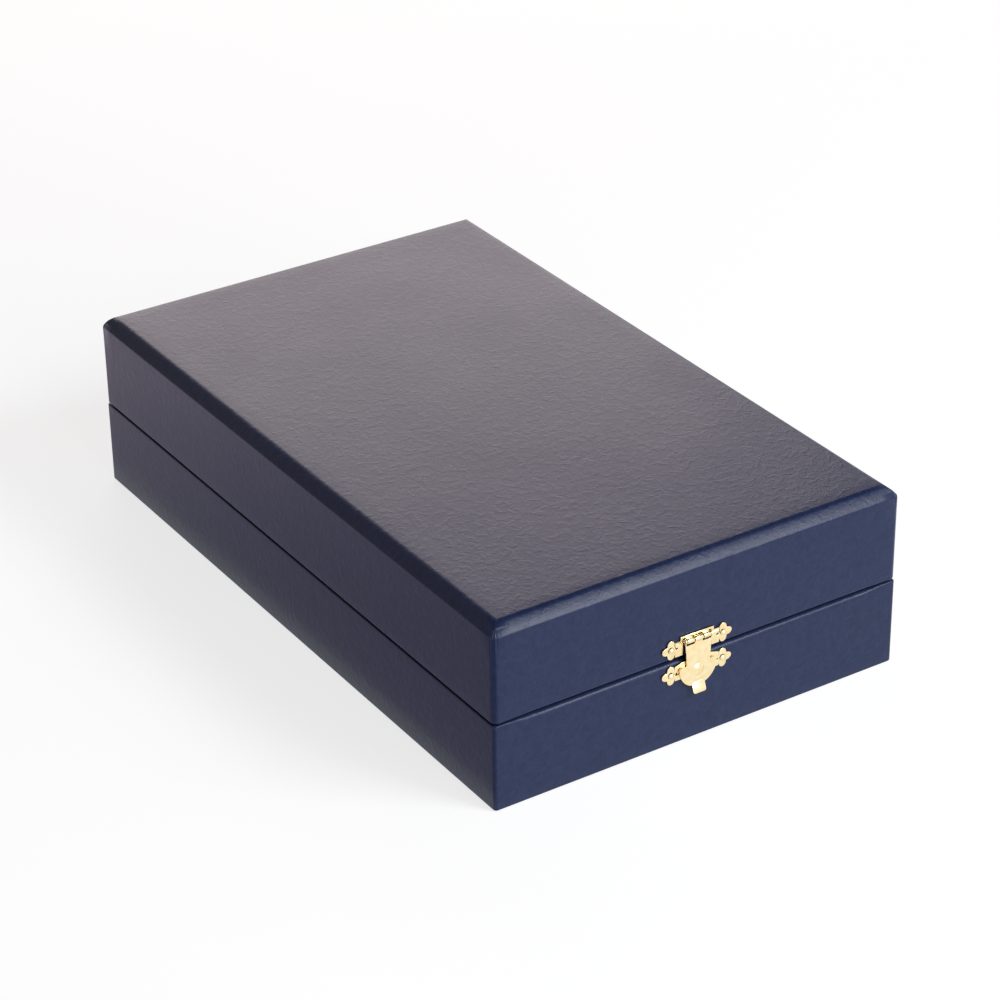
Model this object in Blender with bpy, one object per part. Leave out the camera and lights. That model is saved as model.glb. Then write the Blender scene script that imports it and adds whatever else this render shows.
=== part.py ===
"""Plaque presentation box: a covered case with a hinged lid, a snap clasp and a lined inside.

Units are metres and +Z is up. X runs across the front, the clasp's face looks along -Y and the
hinges are on the +Y face. The origin is the middle of the underside, and the lid is closed.
"""

import math

import bmesh
import bpy
from mathutils import Euler, Matrix, Vector

# Outside of the case
case_width = 0.151
case_depth = 0.249
case_height = 0.064
base_height = 0.0302
rim_gap = 0.0007
lid_bevel = 0.0035
lid_bevel_edge_radius = 0.0012
lid_corner_radius = 0.0026
base_corner_radius = 0.0018
rim_edge_radius = 0.0011
foot_edge_radius = 0.0005

# Gaps and cuts that every piece shares
fit_gap = 0.0003
seat_gap = 0.0002
cut_overrun = 0.0020
least_radius = 0.0003

# Covering material, where it is turned over the rims and under the foot
skin = 0.0008
turn_in_depth = 0.0060
turn_in_edge_radius = 0.0004
hem_width = 0.0025
foot_lift = 0.00025

# Boards, lining strips and the sheet under the base
wall_board = 0.0050
floor_board = 0.0030
top_board = 0.0040
underside_thickness = 0.0010
lining = 0.0012
lining_drop = 0.0015

# Inside of the base: a bed and the frame that makes the plaque's recess
bed_thickness = 0.0094
bed_edge_radius = 0.0008
frame_thickness = 0.0092
frame_border = 0.0160
frame_outer_radius = 0.0014
frame_mouth_radius = 0.0020
frame_corner_radius = 0.0030
notch_radius = 0.0105

# Padded inside of the lid
pad_edge_thickness = 0.0040
pad_edge_radius = 0.0034
pad_crown = 0.0045
pad_drawn_in = 0.0012
pad_corner_radius = 0.0060

# Nails
nail_head_radius = 0.0010
nail_head_height = 0.0006
nail_shoulder_share = 0.70
nail_shoulder_width_share = 0.77
nail_shank_radius = 0.00045
nail_length = 0.0042
nail_hole_radius = 0.00075

# Clasp, measured from the middle of the seam on the front face
clasp_shift = -0.00235
plate_thickness = 0.0005
plate_edge = 0.00012
lobe_reach = 0.0033
lobe_waist_share = 0.60
lobe_sharpness = 1.2
lobe_spacing = 0.0097
root_hole_radius = 0.0005
root_hole_inset = 0.0021
upper_lobe_height = 0.0044
upper_bar_half = 0.0062
upper_bar_bottom = 0.0053
upper_bar_top = 0.0079
upper_arm_top = 0.0066
upper_arm_bottom = 0.0014
lower_lobe_drop = 0.00465
lower_body_half = 0.0054
lower_body_top = 0.0012
lower_body_foot = 0.0040
lower_arm_top = 0.0020
lower_arm_bottom = 0.0070
arm_reach = 0.0082

# Clasp pin, knuckles and the swinging hasp
clasp_pin_height = 0.0061
clasp_pin_out = 0.0011
clasp_pin_radius = 0.00035
clasp_knuckle_radius = 0.0009
clasp_bore_radius = 0.00065
clasp_knuckle_room = 0.00025
plate_knuckle_near = 0.0018
plate_knuckle_far = 0.0043
hasp_half = 0.0050
hasp_neck_half = 0.0043
hasp_thickness = 0.0005
window_height = 0.0006
shield_drop = 0.0038
shield_radius = 0.00695
shoulder_radius = 0.0012
tab_half = 0.0024
tab_root = 0.0101
tab_length = 0.0029
tab_tilt = math.radians(20)
tab_corner_radius = 0.0008
boss_drop = 0.0050
boss_radius = 0.0021
boss_height = 0.0008
boss_wall = 0.0004
stud_radius = 0.0012
stud_height = 0.0005

# Stop hinges, measured from the middle of the seam on the back face
hinge_side_margin = 0.0195
hinge_half = 0.0110
hinge_middle_half = 0.0035
leaf_thickness = 0.0008
leaf_reach = 0.0105
leaf_corner_radius = 0.0012
hinge_pin_out = 0.0016
hinge_pin_radius = 0.0006
hinge_pin_head = 0.0012
hinge_pin_head_length = 0.0004
hinge_knuckle_radius = 0.0014
hinge_bore_radius = 0.0009
hinge_nail_across = 0.0064
hinge_nail_drop = 0.0064
stop_angle = math.radians(100)
stop_root = 0.00115
stop_reach = 0.0039
stop_thickness = 0.0008
stop_corner_radius = 0.0006

# How finely round shapes are cut up, and when an edge counts as a crease
crease_angle = math.radians(32)
merge_distance = 0.000003
corner_steps = 5
edge_steps = 6
bevel_steps = 3
round_sides = 16
nail_sides = 10
boss_steps = 4
lobe_steps = 48
pad_rings = 9
pad_side_steps = 10

# Places that follow from the sizes above
half_width = case_width / 2
half_depth = case_depth / 2
lid_bottom = base_height + rim_gap
seam_height = base_height + rim_gap / 2
board_inset = skin + fit_gap
board_inner = board_inset + wall_board
turn_in_inset = board_inner + fit_gap
lining_inset = turn_in_inset + skin + fit_gap
room_inset = lining_inset + lining + fit_gap
floor_bottom = foot_lift + skin + fit_gap
floor_top = floor_bottom + floor_board
base_wall_top = base_height - board_inset
lid_wall_bottom = lid_bottom + board_inset
lid_board_top = case_height - board_inset
lid_board_bottom = lid_board_top - top_board
lid_wall_top = lid_board_bottom - fit_gap
bed_bottom = floor_top + fit_gap
bed_top = bed_bottom + bed_thickness
frame_bottom = bed_top + fit_gap
frame_top = frame_bottom + frame_thickness
room_half_x = half_width - room_inset
room_half_y = half_depth - room_inset
recess_half_x = room_half_x - frame_border
recess_half_y = room_half_y - frame_border
hinge_place = half_width - hinge_side_margin - hinge_half
lid_axis_place = Vector((0, half_depth + hinge_pin_out, seam_height))
hasp_axis_place = Vector((clasp_shift, -half_depth - clasp_pin_out, seam_height + clasp_pin_height))
front_turn = Euler((math.radians(90), 0, 0))
back_turn = Euler((math.radians(90), 0, math.radians(180)))

materials = {}


def clear_scene():
    for item in list(bpy.data.objects):
        bpy.data.objects.remove(item)


def finish(name, colour, roughness, metallic=0.0):
    """Return a Principled material, made once for each name."""
    if name not in materials:
        material = bpy.data.materials.new(name)
        material.use_nodes = True
        shader = material.node_tree.nodes["Principled BSDF"]
        shader.inputs["Base Color"].default_value = (*colour, 1.0)
        shader.inputs["Roughness"].default_value = roughness
        shader.inputs["Metallic"].default_value = metallic
        materials[name] = material
    return materials[name]


def navy_leatherette(name):
    return finish(name, (0.030, 0.036, 0.082), 0.42)


def board_core(name):
    return finish(name, (0.36, 0.24, 0.13), 0.85)


def velvet(name):
    return finish(name, (0.022, 0.028, 0.090), 0.95)


def satin(name):
    return finish(name, (0.78, 0.72, 0.58), 0.38)


def paper_sheet(name):
    return finish(name, (0.020, 0.022, 0.030), 0.90)


def brass(name):
    return finish(name, (0.86, 0.64, 0.25), 0.22, 1.0)


# Meshes

def mesh_from(bm, name):
    """Turn a bmesh into a smooth-shaded mesh with sharp creases kept."""
    bmesh.ops.recalc_face_normals(bm, faces=bm.faces)
    mesh = bpy.data.meshes.new(name)
    bm.to_mesh(mesh)
    bm.free()
    return smoothed(mesh)


def smoothed(mesh):
    mesh.shade_smooth()
    mesh.set_sharp_from_angle(angle=crease_angle)
    return mesh


def arc(centre, radius, start, end, steps):
    """Points of an arc in a plane, both ends included."""
    points = []
    for step in range(steps + 1):
        angle = start + (end - start) * step / steps
        points.append((centre[0] + radius * math.cos(angle), centre[1] + radius * math.sin(angle)))
    return points


def rounded_rectangle(half_x, half_y, radius, steps=corner_steps):
    """Outline of a rectangle with round corners, anticlockwise."""
    quarter = math.pi / 2
    points = []
    for turn, (side_x, side_y) in enumerate(((1, 1), (-1, 1), (-1, -1), (1, -1))):
        centre = (side_x * (half_x - radius), side_y * (half_y - radius))
        points += arc(centre, radius, turn * quarter, (turn + 1) * quarter, steps)
    return points


def loft(name, loops, closed=False):
    """Skin a chain of loops that all have as many points, with flat caps or joined end to end."""
    bm = bmesh.new()
    rings = [[bm.verts.new(point) for point in loop] for loop in loops]
    count = len(rings[0])
    pairs = list(zip(rings, rings[1:]))
    if closed:
        pairs.append((rings[-1], rings[0]))
    else:
        bm.faces.new(rings[0])
        bm.faces.new(reversed(rings[-1]))
    for lower, upper in pairs:
        for index in range(count):
            following = (index + 1) % count
            bm.faces.new((lower[index], upper[index], upper[following], lower[following]))
    return mesh_from(bm, name)


def case_loop(inset, height, corner_radius):
    """Loop round the case, the inset inside its outer face."""
    radius = max(corner_radius - inset, least_radius)
    outline = rounded_rectangle(half_width - inset, half_depth - inset, radius)
    return [(x, y, height) for x, y in outline]


def case_loft(name, profile, corner_radius, closed):
    """Carry a profile of (inset, height) points round the case."""
    loops = [case_loop(inset, height, corner_radius) for inset, height in profile]
    return loft(name, loops, closed)


def slab(name, low, high):
    """Box between two corners."""
    bm = bmesh.new()
    bmesh.ops.create_cube(bm, size=1)
    size = Vector(high) - Vector(low)
    middle = (Vector(high) + Vector(low)) / 2
    matrix = Matrix.Translation(middle) @ Matrix.Diagonal(size).to_4x4()
    bmesh.ops.transform(bm, matrix=matrix, verts=bm.verts)
    return mesh_from(bm, name)


def prism(name, outline, bottom, top, edge=0):
    """Extrude an outline along Z, with an optional chamfer round its top."""
    loops = [[(x, y, bottom) for x, y in outline]]
    if edge:
        loops.append([(x, y, top - edge) for x, y in outline])
        loops.append([(x, y, top) for x, y in shrunk(outline, edge)])
    else:
        loops.append([(x, y, top) for x, y in outline])
    return loft(name, loops)


def shrunk(outline, distance):
    """Move every point of an anticlockwise outline inwards along its own normal."""
    moved = []
    count = len(outline)
    for index in range(count):
        before = Vector(outline[index - 1])
        here = Vector(outline[index])
        after = Vector(outline[(index + 1) % count])
        along = (here - before).normalized() + (after - here).normalized()
        along.normalize()
        moved.append((here.x - along.y * distance, here.y + along.x * distance))
    return moved


def rod(name, radius, start, end, sides=round_sides):
    """Cylinder between two points."""
    start = Vector(start)
    end = Vector(end)
    bm = bmesh.new()
    bmesh.ops.create_cone(
        bm, cap_ends=True, segments=sides, radius1=radius, radius2=radius, depth=(end - start).length)
    turn = (end - start).to_track_quat("Z", "Y").to_matrix().to_4x4()
    bmesh.ops.transform(bm, matrix=Matrix.Translation((start + end) / 2) @ turn, verts=bm.verts)
    return mesh_from(bm, name)


def cross_bar(name, radius, left, right, centre, sides=round_sides):
    """Cylinder along X between two exact ends, with its centre given as (y, z)."""
    circle = [(math.cos(math.tau * (step + 0.5) / sides), math.sin(math.tau * (step + 0.5) / sides))
              for step in range(sides)]
    loops = [[(x, centre[0] + radius * y, centre[1] + radius * z) for y, z in circle] for x in (left, right)]
    return loft(name, loops)


def turned(name, profile, sides):
    """Revolve (radius, height) points, from the axis round to the axis, about Z."""
    bm = bmesh.new()
    verts = [bm.verts.new((radius, 0, height)) for radius, height in profile]
    edges = [bm.edges.new(pair) for pair in zip(verts, verts[1:])]
    bmesh.ops.spin(
        bm, geom=verts + edges, cent=(0, 0, 0), axis=(0, 0, 1), angle=math.tau, steps=sides, use_merge=True)
    bmesh.ops.remove_doubles(bm, verts=bm.verts, dist=merge_distance)
    return mesh_from(bm, name)


def dome_profile(radius, height, foot):
    """Profile of a spherical cap that stands on a stub reaching down to the foot."""
    curve = (radius * radius + height * height) / (2 * height)
    spread = math.asin(min(radius / curve, 1))
    points = [(0, foot), (radius, foot)]
    for step in range(boss_steps):
        angle = spread * (1 - step / boss_steps)
        points.append((curve * math.sin(angle), height - curve * (1 - math.cos(angle))))
    points.append((0, height))
    return points


def moved(mesh, place, turn=None):
    """Shift a mesh's points, after an optional turn."""
    matrix = Matrix.Translation(Vector(place))
    if turn:
        matrix = matrix @ turn.to_matrix().to_4x4()
    mesh.transform(matrix)
    return mesh


def carved(body, joined=(), removed=()):
    """Return the body's mesh with some shapes added and others cut away."""
    carrier = bpy.data.objects.new("carrier", body)
    bpy.context.scene.collection.objects.link(carrier)
    helpers = []
    for operation, shapes in (("UNION", joined), ("DIFFERENCE", removed)):
        for shape in shapes:
            helper = bpy.data.objects.new("helper", shape)
            bpy.context.scene.collection.objects.link(helper)
            helper.hide_render = True
            helper.display_type = "WIRE"
            step = carrier.modifiers.new(operation.title(), "BOOLEAN")
            step.operation = operation
            step.solver = "EXACT"
            step.object = helper
            helpers.append(helper)
    graph = bpy.context.evaluated_depsgraph_get()
    graph.update()
    result = bpy.data.meshes.new_from_object(carrier.evaluated_get(graph))
    for item in [carrier] + helpers:
        bpy.data.objects.remove(item)
    return smoothed(result)


# Objects

def add_axis(name, place):
    """Add an empty on a joint's axis, to carry the pieces that turn about it."""
    axis = bpy.data.objects.new(name, None)
    axis.location = place
    bpy.context.scene.collection.objects.link(axis)
    return axis


def add_piece(name, mesh, material, axis=None, place=(0, 0, 0), turn=Euler((0, 0, 0))):
    """Add one named piece, on its joint's empty if it moves."""
    mesh.name = name
    mesh.materials.clear()
    mesh.materials.append(material(name))
    piece = bpy.data.objects.new(name, mesh)
    piece.location = place
    piece.rotation_euler = turn
    bpy.context.scene.collection.objects.link(piece)
    if axis:
        piece.parent = axis
        piece.matrix_parent_inverse = Matrix.Translation(axis.location).inverted()
    return piece


# Nails, and the holes that they go through

def nail_places():
    """Every nail's name, body, carried face and point on the plate's outer face."""
    places = []
    clasp_out = seat_gap + plate_thickness
    hinge_out = seat_gap + leaf_thickness
    for side_name, side in (("left", -1), ("right", 1)):
        across = clasp_shift + side * lobe_spacing
        places.append(("clasp_nail_" + side_name, "lid", "front", across, upper_lobe_height, clasp_out))
        places.append(("catch_nail_" + side_name, "base", "front", across, -lower_lobe_drop, clasp_out))
    for side_name, side in (("left", -1), ("right", 1)):
        for end_name, end in (("outer", side), ("inner", -side)):
            across = side * hinge_place + end * hinge_nail_across
            stem = "_" + side_name + "_" + end_name
            places.append(("hinge_lid_nail" + stem, "lid", "back", across, hinge_nail_drop, hinge_out))
            places.append(("hinge_base_nail" + stem, "base", "back", across, -hinge_nail_drop, hinge_out))
    return places


def nail_mesh():
    """Nail whose head rests on the plane Z = 0 and whose shank points down."""
    profile = [(0, -nail_length), (nail_shank_radius, -nail_length + nail_shank_radius)]
    profile += [(nail_shank_radius, fit_gap), (nail_head_radius, fit_gap)]
    shoulder = nail_head_radius * nail_shoulder_width_share
    profile += [(shoulder, fit_gap + nail_head_height * nail_shoulder_share)]
    profile += [(0, fit_gap + nail_head_height)]
    return turned("nail", profile, nail_sides)


def nail_holes(body, face):
    """Cutters for one body's nails on one face, long enough for plate, skin and board."""
    cutters = []
    outward = -1 if face == "front" else 1
    surface = outward * half_depth
    for name, owner, side, across, up, out in nail_places():
        if (owner, side) == (body, face):
            start = (across, surface + outward * (out + cut_overrun), seam_height + up)
            end = (across, surface + outward * (out - nail_length - fit_gap), seam_height + up)
            cutters.append(rod("hole", nail_hole_radius, start, end, nail_sides))
    return cutters


def add_nails(lid_axis):
    shared = nail_mesh()
    for name, owner, side, across, up, out in nail_places():
        outward = -1 if side == "front" else 1
        place = (across, outward * (half_depth + out), seam_height + up)
        turn = front_turn if side == "front" else back_turn
        add_piece(name, shared.copy(), brass, lid_axis if owner == "lid" else None, place, turn)


# Base

def base_cover_profile():
    """Section of the base's covering: foot, wall, rim and the part turned in."""
    quarter = math.pi / 2
    inner = turn_in_inset + skin
    rim = base_height
    foot_centre = (foot_edge_radius, foot_lift + foot_edge_radius)
    rim_centre = (rim_edge_radius, rim - rim_edge_radius)
    profile = [(hem_width, foot_lift)]
    profile += arc(foot_centre, foot_edge_radius, 3 * quarter, 2 * quarter, 3)
    profile += arc(rim_centre, rim_edge_radius, 2 * quarter, quarter, edge_steps)
    profile += arc(
        (inner - turn_in_edge_radius, rim - turn_in_edge_radius), turn_in_edge_radius, quarter, 0, 2)
    profile += [(inner, rim - turn_in_depth), (turn_in_inset, rim - turn_in_depth)]
    profile += [(turn_in_inset, rim - skin), (skin, rim - skin)]
    profile += [(skin, foot_lift + skin), (hem_width, foot_lift + skin)]
    return profile


def wall_boards(prefix, bottom, top, corner_radius, axis, front_cuts, back_cuts):
    """Four wall boards: the long sides run the full depth, the ends fit between them."""
    quarter = math.pi / 2
    radius = max(corner_radius - board_inset, least_radius)
    outer_x = half_width - board_inset
    outer_y = half_depth - board_inset
    inner_x = outer_x - wall_board
    outline = [(inner_x, -outer_y)]
    outline += arc((outer_x - radius, radius - outer_y), radius, -quarter, 0, corner_steps)
    outline += arc((outer_x - radius, outer_y - radius), radius, 0, quarter, corner_steps)
    outline += [(inner_x, outer_y)]
    for name, side in (("left", -1), ("right", 1)):
        board = prism(name, [(side * x, y) for x, y in outline], bottom, top)
        add_piece(prefix + "_" + name + "_board", board, board_core, axis)
    end_x = inner_x - fit_gap
    for name, side, cuts in (("front", -1, front_cuts), ("back", 1, back_cuts)):
        near = side * outer_y
        far = side * (outer_y - wall_board)
        low = (-end_x, min(near, far), bottom)
        high = (end_x, max(near, far), top)
        board = carved(slab(name, low, high), removed=cuts)
        add_piece(prefix + "_" + name + "_board", board, board_core, axis)


def lining_strips(prefix, bottom, top, axis):
    """Four covered strips inside the walls, the ends between the sides."""
    outer_x = half_width - lining_inset
    outer_y = half_depth - lining_inset
    inner_x = outer_x - lining
    end_x = inner_x - fit_gap
    for name, side in (("left", -1), ("right", 1)):
        low = (min(side * outer_x, side * inner_x), -outer_y, bottom)
        high = (max(side * outer_x, side * inner_x), outer_y, top)
        add_piece(prefix + "_lining_" + name, slab(name, low, high), lining_cloth(prefix), axis)
    for name, side in (("front", -1), ("back", 1)):
        near = side * outer_y
        far = side * (outer_y - lining)
        low = (-end_x, min(near, far), bottom)
        high = (end_x, max(near, far), top)
        add_piece(prefix + "_lining_" + name, slab(name, low, high), lining_cloth(prefix), axis)


def lining_cloth(prefix):
    return velvet if prefix == "base" else satin


def base_floor():
    radius = max(base_corner_radius - board_inset, least_radius)
    outline = rounded_rectangle(half_width - board_inset, half_depth - board_inset, radius)
    add_piece("base_floor_board", prism("floor", outline, floor_bottom, floor_top), board_core)


def underside_sheet():
    inset = hem_width + fit_gap
    outline = rounded_rectangle(half_width - inset, half_depth - inset, least_radius)
    add_piece("underside_sheet", prism("sheet", outline, 0, underside_thickness), paper_sheet)


def base_cover():
    body = case_loft("cover", base_cover_profile(), base_corner_radius, closed=True)
    holes = nail_holes("base", "front") + nail_holes("base", "back")
    add_piece("base_cover", carved(body, removed=holes), navy_leatherette)


def plaque_bed():
    """Padded bed that the plaque lies on."""
    radius = frame_corner_radius
    edge = bed_edge_radius
    outline = rounded_rectangle(room_half_x, room_half_y, radius)
    loops = [[(x, y, bed_bottom) for x, y in outline]]
    for step in range(edge_steps // 2 + 1):
        angle = math.pi / 2 * step / (edge_steps // 2)
        inset = edge * (1 - math.cos(angle))
        height = bed_top - edge * (1 - math.sin(angle))
        outline = rounded_rectangle(room_half_x - inset, room_half_y - inset, radius - inset)
        loops.append([(x, y, height) for x, y in outline])
    add_piece("plaque_bed", loft("bed", loops), velvet)


def plaque_frame():
    """Covered frame whose opening is the plaque's recess, with two finger notches."""
    quarter = math.pi / 2
    outer = frame_outer_radius
    mouth = frame_mouth_radius
    loops = []
    outer_side = [(0, frame_bottom)] + arc((outer, frame_top - outer), outer, 2 * quarter, quarter, 4)
    for inset, height in outer_side:
        outline = rounded_rectangle(room_half_x - inset, room_half_y - inset, frame_corner_radius - inset)
        loops.append([(x, y, height) for x, y in outline])
    inner_side = arc((mouth, frame_top - mouth), mouth, quarter, 2 * quarter, 5) + [(0, frame_bottom)]
    for outset, height in inner_side:
        outline = rounded_rectangle(
            recess_half_x + outset, recess_half_y + outset, frame_corner_radius + outset)
        loops.append([(x, y, height) for x, y in outline])
    body = loft("frame", loops, closed=True)
    notches = []
    for side in (-1, 1):
        start = (side * recess_half_x, 0, frame_bottom - cut_overrun)
        end = (side * recess_half_x, 0, frame_top + cut_overrun)
        notches.append(rod("notch", notch_radius, start, end, 2 * round_sides))
    add_piece("plaque_frame", carved(body, removed=notches), velvet)


def build_base():
    base_cover()
    underside_sheet()
    base_floor()
    wall_boards("base", floor_top + fit_gap, base_wall_top, base_corner_radius, None,
                nail_holes("base", "front"), nail_holes("base", "back"))
    lining_strips("base", floor_top + fit_gap, base_height - lining_drop, None)
    plaque_bed()
    plaque_frame()


# Lid

def bevel_profile(inset):
    """Section of the lid's bevelled upper edge, from the top out and down, the inset inside the face."""
    eighth = math.pi / 4
    shift = math.tan(eighth / 2)
    radius = max(lid_bevel_edge_radius - inset, least_radius)
    reach = lid_bevel + (inset + radius) * shift
    upper = (reach, case_height - inset - radius)
    lower = (inset + radius, case_height - reach)
    profile = arc(upper, radius, 2 * eighth, 3 * eighth, bevel_steps)
    return profile + arc(lower, radius, 3 * eighth, 4 * eighth, bevel_steps)


def lid_cover_profile():
    """Section of the lid's covering, from the top's middle out, down, round the rim and back in."""
    quarter = math.pi / 2
    rim = lid_bottom
    inner = turn_in_inset + skin
    profile = bevel_profile(0)
    rim_centre = (rim_edge_radius, rim + rim_edge_radius)
    profile += arc(rim_centre, rim_edge_radius, 2 * quarter, 3 * quarter, edge_steps)
    profile += arc(
        (inner - turn_in_edge_radius, rim + turn_in_edge_radius), turn_in_edge_radius, -quarter, 0, 2)
    profile += [(inner, rim + turn_in_depth), (turn_in_inset, rim + turn_in_depth)]
    profile += [(turn_in_inset, rim + skin), (skin, rim + skin)]
    profile += reversed(bevel_profile(skin))
    return profile


def lid_cover(axis):
    body = case_loft("cover", lid_cover_profile(), lid_corner_radius, closed=False)
    holes = nail_holes("lid", "front") + nail_holes("lid", "back")
    add_piece("lid_cover", carved(body, removed=holes), navy_leatherette, axis)


def lid_top(axis):
    """Top board with its upper edge bevelled to follow the covering."""
    profile = [(board_inset, lid_board_bottom)]
    profile += reversed(bevel_profile(board_inset))
    add_piece("lid_top_board", case_loft("top", profile, lid_corner_radius, closed=False), board_core, axis)


def drawn_outline(half_x, half_y, radius, drawn_in):
    """Rounded rectangle whose straight sides are split up and bow inwards, as on a stuffed pad."""
    corners = rounded_rectangle(half_x, half_y, radius)
    outline = []
    for index, point in enumerate(corners):
        following = Vector(corners[(index + 1) % len(corners)])
        here = Vector(point)
        outline.append(here)
        if (following - here).length > radius:
            for step in range(1, pad_side_steps):
                outline.append(here.lerp(following, step / pad_side_steps))
    shaped = []
    for point in outline:
        bow_x = 1 - (point.y / half_y) ** 2
        bow_y = 1 - (point.x / half_x) ** 2
        x = point.x * (1 - drawn_in * bow_x / half_x)
        y = point.y * (1 - drawn_in * bow_y / half_y)
        shaped.append((x, y))
    return shaped


def lid_pad(axis):
    """Padded panel under the lid's top, flat above and crowned below."""
    top = lid_board_bottom - fit_gap
    loops = []
    outline = drawn_outline(room_half_x, room_half_y, pad_corner_radius, pad_drawn_in)
    loops.append([(x, y, top) for x, y in outline])
    for step in range(edge_steps // 2 + 1):
        angle = math.pi / 2 * step / (edge_steps // 2)
        inset = pad_edge_radius * (1 - math.cos(angle))
        drop = pad_edge_thickness - pad_edge_radius * (1 - math.sin(angle))
        outline = drawn_outline(
            room_half_x - inset, room_half_y - inset, pad_corner_radius - inset / 2, pad_drawn_in)
        loops.append([(x, y, top - drop) for x, y in outline])
    rim = loops[-1]
    for ring in range(1, pad_rings):
        share = ring / pad_rings
        rise = pad_crown * math.sin(share * math.pi / 2)
        loops.append([(x * (1 - share), y * (1 - share), z - rise) for x, y, z in rim])
    add_piece("lid_pad", loft("pad", loops), satin, axis)


def build_lid(axis):
    lid_cover(axis)
    lid_top(axis)
    wall_boards("lid", lid_wall_bottom, lid_wall_top, lid_corner_radius, axis,
                nail_holes("lid", "front"), nail_holes("lid", "back"))
    lining_strips("lid", lid_bottom + lining_drop, lid_wall_top, axis)
    lid_pad(axis)


# Clasp: built flat, X across, Y up from the seam and Z out of the front face

def lobe_outline(centre_x, centre_y):
    """Four-petalled ornament from one polar curve."""
    points = []
    for step in range(lobe_steps):
        angle = math.tau * step / lobe_steps
        petal = abs(math.cos(2 * angle)) ** lobe_sharpness
        radius = lobe_reach * (lobe_waist_share + (1 - lobe_waist_share) * petal)
        points.append((centre_x + radius * math.cos(angle), centre_y + radius * math.sin(angle)))
    return points


def clasp_lobes(height):
    front = seat_gap + plate_thickness
    lobes = []
    for side in (-1, 1):
        lobes.append(prism("lobe", lobe_outline(side * lobe_spacing, height), seat_gap, front, plate_edge))
    return lobes


def clasp_holes(height):
    """Nail holes in the lobes and the small empty holes at their roots."""
    front = seat_gap + plate_thickness + cut_overrun
    back = seat_gap - cut_overrun
    root_hole_spacing = lobe_spacing - root_hole_inset
    holes = []
    for side in (-1, 1):
        for across, radius in ((lobe_spacing, nail_hole_radius), (root_hole_spacing, root_hole_radius)):
            start = (side * across, height, back)
            end = (side * across, height, front)
            holes.append(rod("hole", radius, start, end, nail_sides))
    return holes


def clasp_bore():
    reach = upper_bar_half + cut_overrun
    return cross_bar("bore", clasp_bore_radius, -reach, reach, (clasp_pin_height, clasp_pin_out))


def clasp_plate(axis):
    """Upper plate on the lid, whose two knuckles hold the hasp's pin."""
    front = seat_gap + plate_thickness
    bar = slab("bar", (-upper_bar_half, upper_bar_bottom, seat_gap), (upper_bar_half, upper_bar_top, front))
    parts = clasp_lobes(upper_lobe_height)
    pin_centre = (clasp_pin_height, clasp_pin_out)
    knuckle_sides = []
    for side in (-1, 1):
        arm_ends = sorted((side * hasp_half + side * fit_gap, side * arm_reach))
        low = (arm_ends[0], upper_arm_bottom, seat_gap)
        high = (arm_ends[1], upper_arm_top, front)
        parts.append(slab("arm", low, high))
        ends = sorted((side * plate_knuckle_near, side * plate_knuckle_far))
        knuckle_sides.append(cross_bar("knuckle", clasp_knuckle_radius, *ends, pin_centre))
    room = clasp_knuckle_radius + clasp_knuckle_room
    slots = []
    for left, right in ((-hasp_half - fit_gap, -plate_knuckle_far), (-plate_knuckle_near, plate_knuckle_near),
                        (plate_knuckle_far, hasp_half + fit_gap)):
        low = (left, upper_bar_bottom - cut_overrun, seat_gap - cut_overrun)
        high = (right, clasp_pin_height, front + cut_overrun)
        slots.append(slab("slot", low, high))
        slots.append(cross_bar("slot", room, left, right, pin_centre))
    notched = carved(bar, joined=parts, removed=slots)
    mesh = carved(notched, joined=knuckle_sides, removed=[clasp_bore()] + clasp_holes(upper_lobe_height))
    add_piece("clasp_plate", mesh, brass, axis, (clasp_shift, -half_depth, seam_height), front_turn)


def clasp_pin(axis):
    reach = hasp_half - fit_gap
    mesh = cross_bar("pin", clasp_pin_radius, -reach, reach, (clasp_pin_height, clasp_pin_out))
    add_piece("clasp_pin", mesh, brass, axis, (clasp_shift, -half_depth, seam_height), front_turn)


def catch_plate():
    """Lower plate on the base, with the pressed stud that the hasp snaps over."""
    front = seat_gap + plate_thickness
    quarter = math.pi / 2
    outline = [(-lower_body_half, -lower_body_top)]
    outline += arc((0, -lower_body_foot), lower_body_half, 2 * quarter, 4 * quarter, 2 * edge_steps)
    outline += [(lower_body_half, -lower_body_top)]
    body = prism("body", outline, seat_gap, front)
    parts = clasp_lobes(-lower_lobe_drop)
    for side in (-1, 1):
        arm = [(side * hasp_neck_half, -lower_body_top), (side * lower_body_half, -lower_body_top)]
        arm += [(side * arm_reach, -lower_arm_top), (side * arm_reach, -lower_arm_bottom)]
        arm += [(side * hasp_neck_half, -lower_arm_bottom)]
        parts.append(prism("arm", arm, seat_gap, front))
    stud = moved(turned("stud", dome_profile(stud_radius, stud_height, -plate_thickness / 2), round_sides),
                 (0, -boss_drop, front))
    mesh = carved(body, joined=parts + [stud], removed=clasp_holes(-lower_lobe_drop))
    add_piece("catch_plate", mesh, brass, None, (clasp_shift, -half_depth, seam_height), front_turn)


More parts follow.
